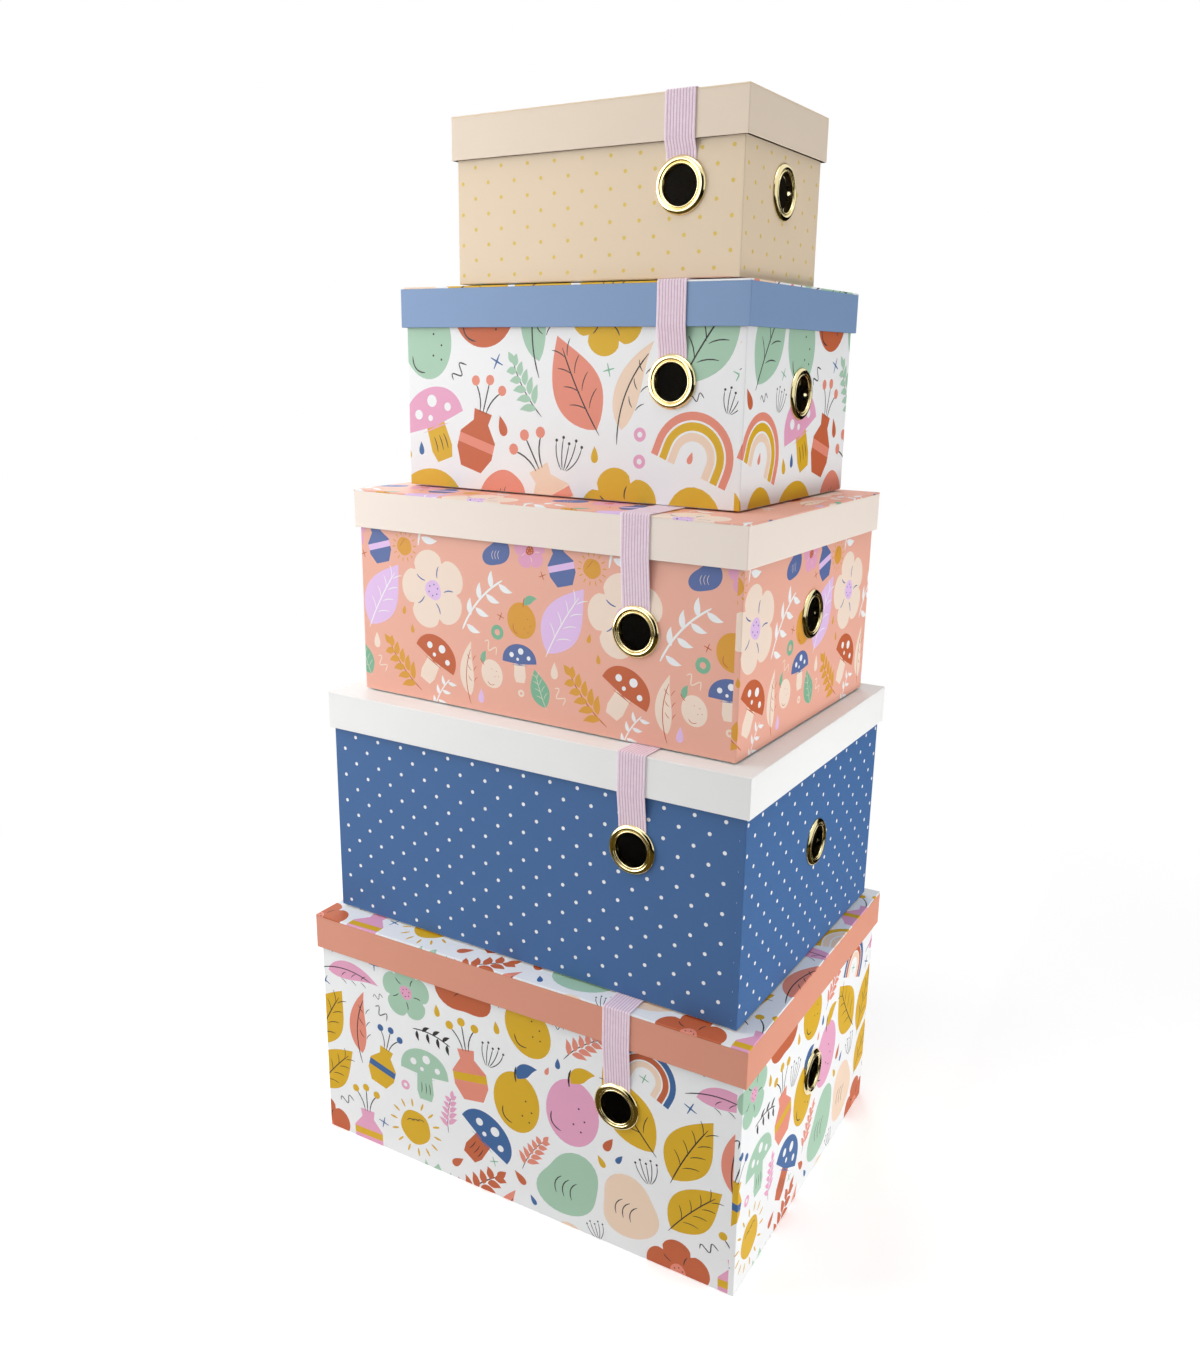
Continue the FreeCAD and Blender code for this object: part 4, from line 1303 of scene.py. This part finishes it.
def seen_directly(tree):
    """1 for a ray from the camera, a mirror or clear glass, and 0 for one that only carries light."""
    rays = add(tree, "ShaderNodeLightPath")
    either = add(tree, "ShaderNodeMath", {"operation": "MAXIMUM"}, i0=rays.outputs["Is Camera Ray"],
                 i1=rays.outputs["Is Glossy Ray"])
    return add(tree, "ShaderNodeMath", {"operation": "MAXIMUM"}, i0=either.outputs[0],
               i1=rays.outputs["Is Transmission Ray"]).outputs[0]


def floor_material():
    """Painted board, pale and matt near the boxes, fading to the white surround with distance."""
    material, tree, output, place = start_material("studio_floor")
    # a brushed grain of 4 to 5 mm, coarser than paint, so that it can be seen
    grain = add(tree, "ShaderNodeTexNoise", Vector=place, Scale=220.0, Detail=2.0)
    relief = add(tree, "ShaderNodeBump", Strength=0.03, Distance=0.0005, Height=grain.outputs[0])
    matt = add(tree, "ShaderNodeBsdfPrincipled", Base_Color=linear("#F4F4F4"), Roughness=0.8,
               Normal=relief.outputs[0])
    glow = add(tree, "ShaderNodeEmission", Color=(1, 1, 1, 1), Strength=FLOOR_GLOW)
    near = add(tree, "ShaderNodeAddShader", i0=matt.outputs[0], i1=glow.outputs[0])
    white = add(tree, "ShaderNodeEmission", Color=(1, 1, 1, 1), Strength=1.0)
    away = add(tree, "ShaderNodeVectorMath", {"operation": "LENGTH"}, i0=place)
    fade = add(tree, "ShaderNodeMapRange", {"interpolation_type": "SMOOTHSTEP"},
               Value=away.outputs["Value"], i1=NEAR, i2=FAR)
    looks = add(tree, "ShaderNodeMixShader", i0=fade.outputs[0], i1=near.outputs[0], i2=white.outputs[0])
    chosen = add(tree, "ShaderNodeMixShader", i0=seen_directly(tree), i1=matt.outputs[0],
                 i2=looks.outputs[0])
    finish_material(tree, output, chosen)
    return material


studio_floor = floor_material()
print("floor nodes", len(studio_floor.node_tree.nodes))

# %% Floor and surround
FLOOR_HALF = 9.0  # m
SURROUND = 0.30   # the surround's strength as light. Seen directly it is 1

corners = [(x * FLOOR_HALF, y * FLOOR_HALF, 0) for x, y in ((-1, -1), (1, -1), (1, 1), (-1, 1))]
floor_mesh = bpy.data.meshes.new("floor")
floor_mesh.from_pydata(corners, [], [(0, 1, 2, 3)])
floor_mesh.materials.append(studio_floor)
in_scene("floor", floor_mesh)

world = bpy.data.worlds.new("studio")
bpy.context.scene.world = world
world.use_nodes = True
tree = world.node_tree
tree.nodes.clear()
strength = add(tree, "ShaderNodeMapRange", Value=seen_directly(tree), i1=0.0, i2=1.0, i3=SURROUND, i4=1.0)
backdrop = add(tree, "ShaderNodeBackground", Color=(1, 1, 1, 1), Strength=strength.outputs[0])
tree.links.new(backdrop.outputs[0], add(tree, "ShaderNodeOutputWorld").inputs["Surface"])
print("floor and surround", FLOOR_HALF * 2, "m wide")

# %% Softboxes


def softbox(name, place, target, wide, high, watts, in_metal=True):
    """A rectangular lamp that faces its target. Without in_metal no reflection shows it."""
    lamp = bpy.data.lights.new(name, "AREA")
    lamp.shape, lamp.size, lamp.size_y, lamp.energy = "RECTANGLE", wide, high, watts
    obj = in_scene(name, lamp)
    obj.location = place
    obj.rotation_euler = (Vector(target) - Vector(place)).to_track_quat("-Z", "Y").to_euler()
    obj.visible_glossy = in_metal


softbox("left_softbox", (-0.95, -0.62, 0.75), (0, -0.1, 0.42), 0.8, 1.05, 10.5)
softbox("top_softbox", (0.25, -0.3, 2.1), (0.05, -0.05, 0.4), 1.2, 1.2, 10.0)
softbox("back_left_softbox", (-1.2, 1.9, 1.0), (0, 0, 0.4), 1.2, 1.2, 20.0)
softbox("right_low_softbox", (0.95, 0.0, 0.22), (0, 0, 0.22), 0.5, 0.4, 3.8, in_metal=False)
print("softboxes", [lamp.name for lamp in bpy.data.lights])

# %% Cards that only reflections see
CARD_LIFT = 0.002  # m over the floor


def felt_card(name, colour, glow=0.0):
    """Fuzzy, in clumps of some 3 mm, and without any shine, so that it shows as one even tone. With glow it
    shines though it is no lamp: a painted highlight in reflections.
    """
    material, tree, output, place = start_material(name)
    fuzz = add(tree, "ShaderNodeTexNoise", Vector=place, Scale=300.0)
    tone = add(tree, "ShaderNodeMapRange", Value=fuzz.outputs[0], i3=0.75, i4=0.9)
    shader = add(tree, "ShaderNodeBsdfPrincipled", Base_Color=linear(colour), Roughness=tone.outputs[0],
                 Emission_Color=(1.0, 1.0, 1.0, 1.0), Emission_Strength=glow)
    shader.inputs["Specular IOR Level"].default_value = 0.0
    finish_material(tree, output, shader)
    return material


def card(name, corners, material):
    """One card, hidden from the camera and from the light."""
    mesh = bpy.data.meshes.new(name)
    mesh.from_pydata(corners, [], [(0, 1, 2, 3)])
    mesh.materials.append(material)
    obj = in_scene(name, mesh)
    obj.visible_camera = obj.visible_diffuse = obj.visible_shadow = False


def standing(name, x0, y0, x1, y1, low, high, material):
    card(name, [(x0, y0, low), (x1, y1, low), (x1, y1, high), (x0, y0, high)], material)


def lying(name, x0, y0, x1, y1, material):
    card(name, [(x, y, CARD_LIFT) for x, y in ((x0, y0), (x1, y0), (x1, y1), (x0, y1))], material)


# the dark cards block and bounce no light: they are painted dark reflections in the brass
black = felt_card("black_felt_card", "#0C0C0C")
ochre = felt_card("dark_ochre_felt_card", "#55481F")
umber = felt_card("umber_felt_card", "#2A2412")
# a white card that glows though it is no lamp, seen only in reflections: a painted highlight on the brass
glowing_white = felt_card("glowing_white_card", "#FFFFFF", glow=1.5)
standing("flag_behind_camera", 0.2, -1.7, 1.25, -0.95, 0.0, 1.5, black)
standing("flag_back", 1.1, 1.0, -0.9, 1.3, 0.0, 0.9, black)
lying("flag_on_floor", -2.5, -2.5, 1.2, -0.16, ochre)
lying("flag_on_floor_back", 0.25, 0.25, 2.5, 2.5, ochre)
lying("flag_on_floor_left", -2.5, -0.16, -0.2, 2.0, ochre)
lying("flag_on_floor_right", 0.25, -0.16, 4.0, 0.25, umber)
lying("flag_on_floor_far_right", 1.2, -3.0, 4.0, -0.16, umber)
# the glowing card lights nothing and shows only in the brass, as a painted highlight
standing("glowing_card_left", -1.85, -0.6, -0.1, -2.0, 0.5, 1.8, glowing_white)

# %% View settings
bpy.context.scene.view_settings.view_transform = "Standard"
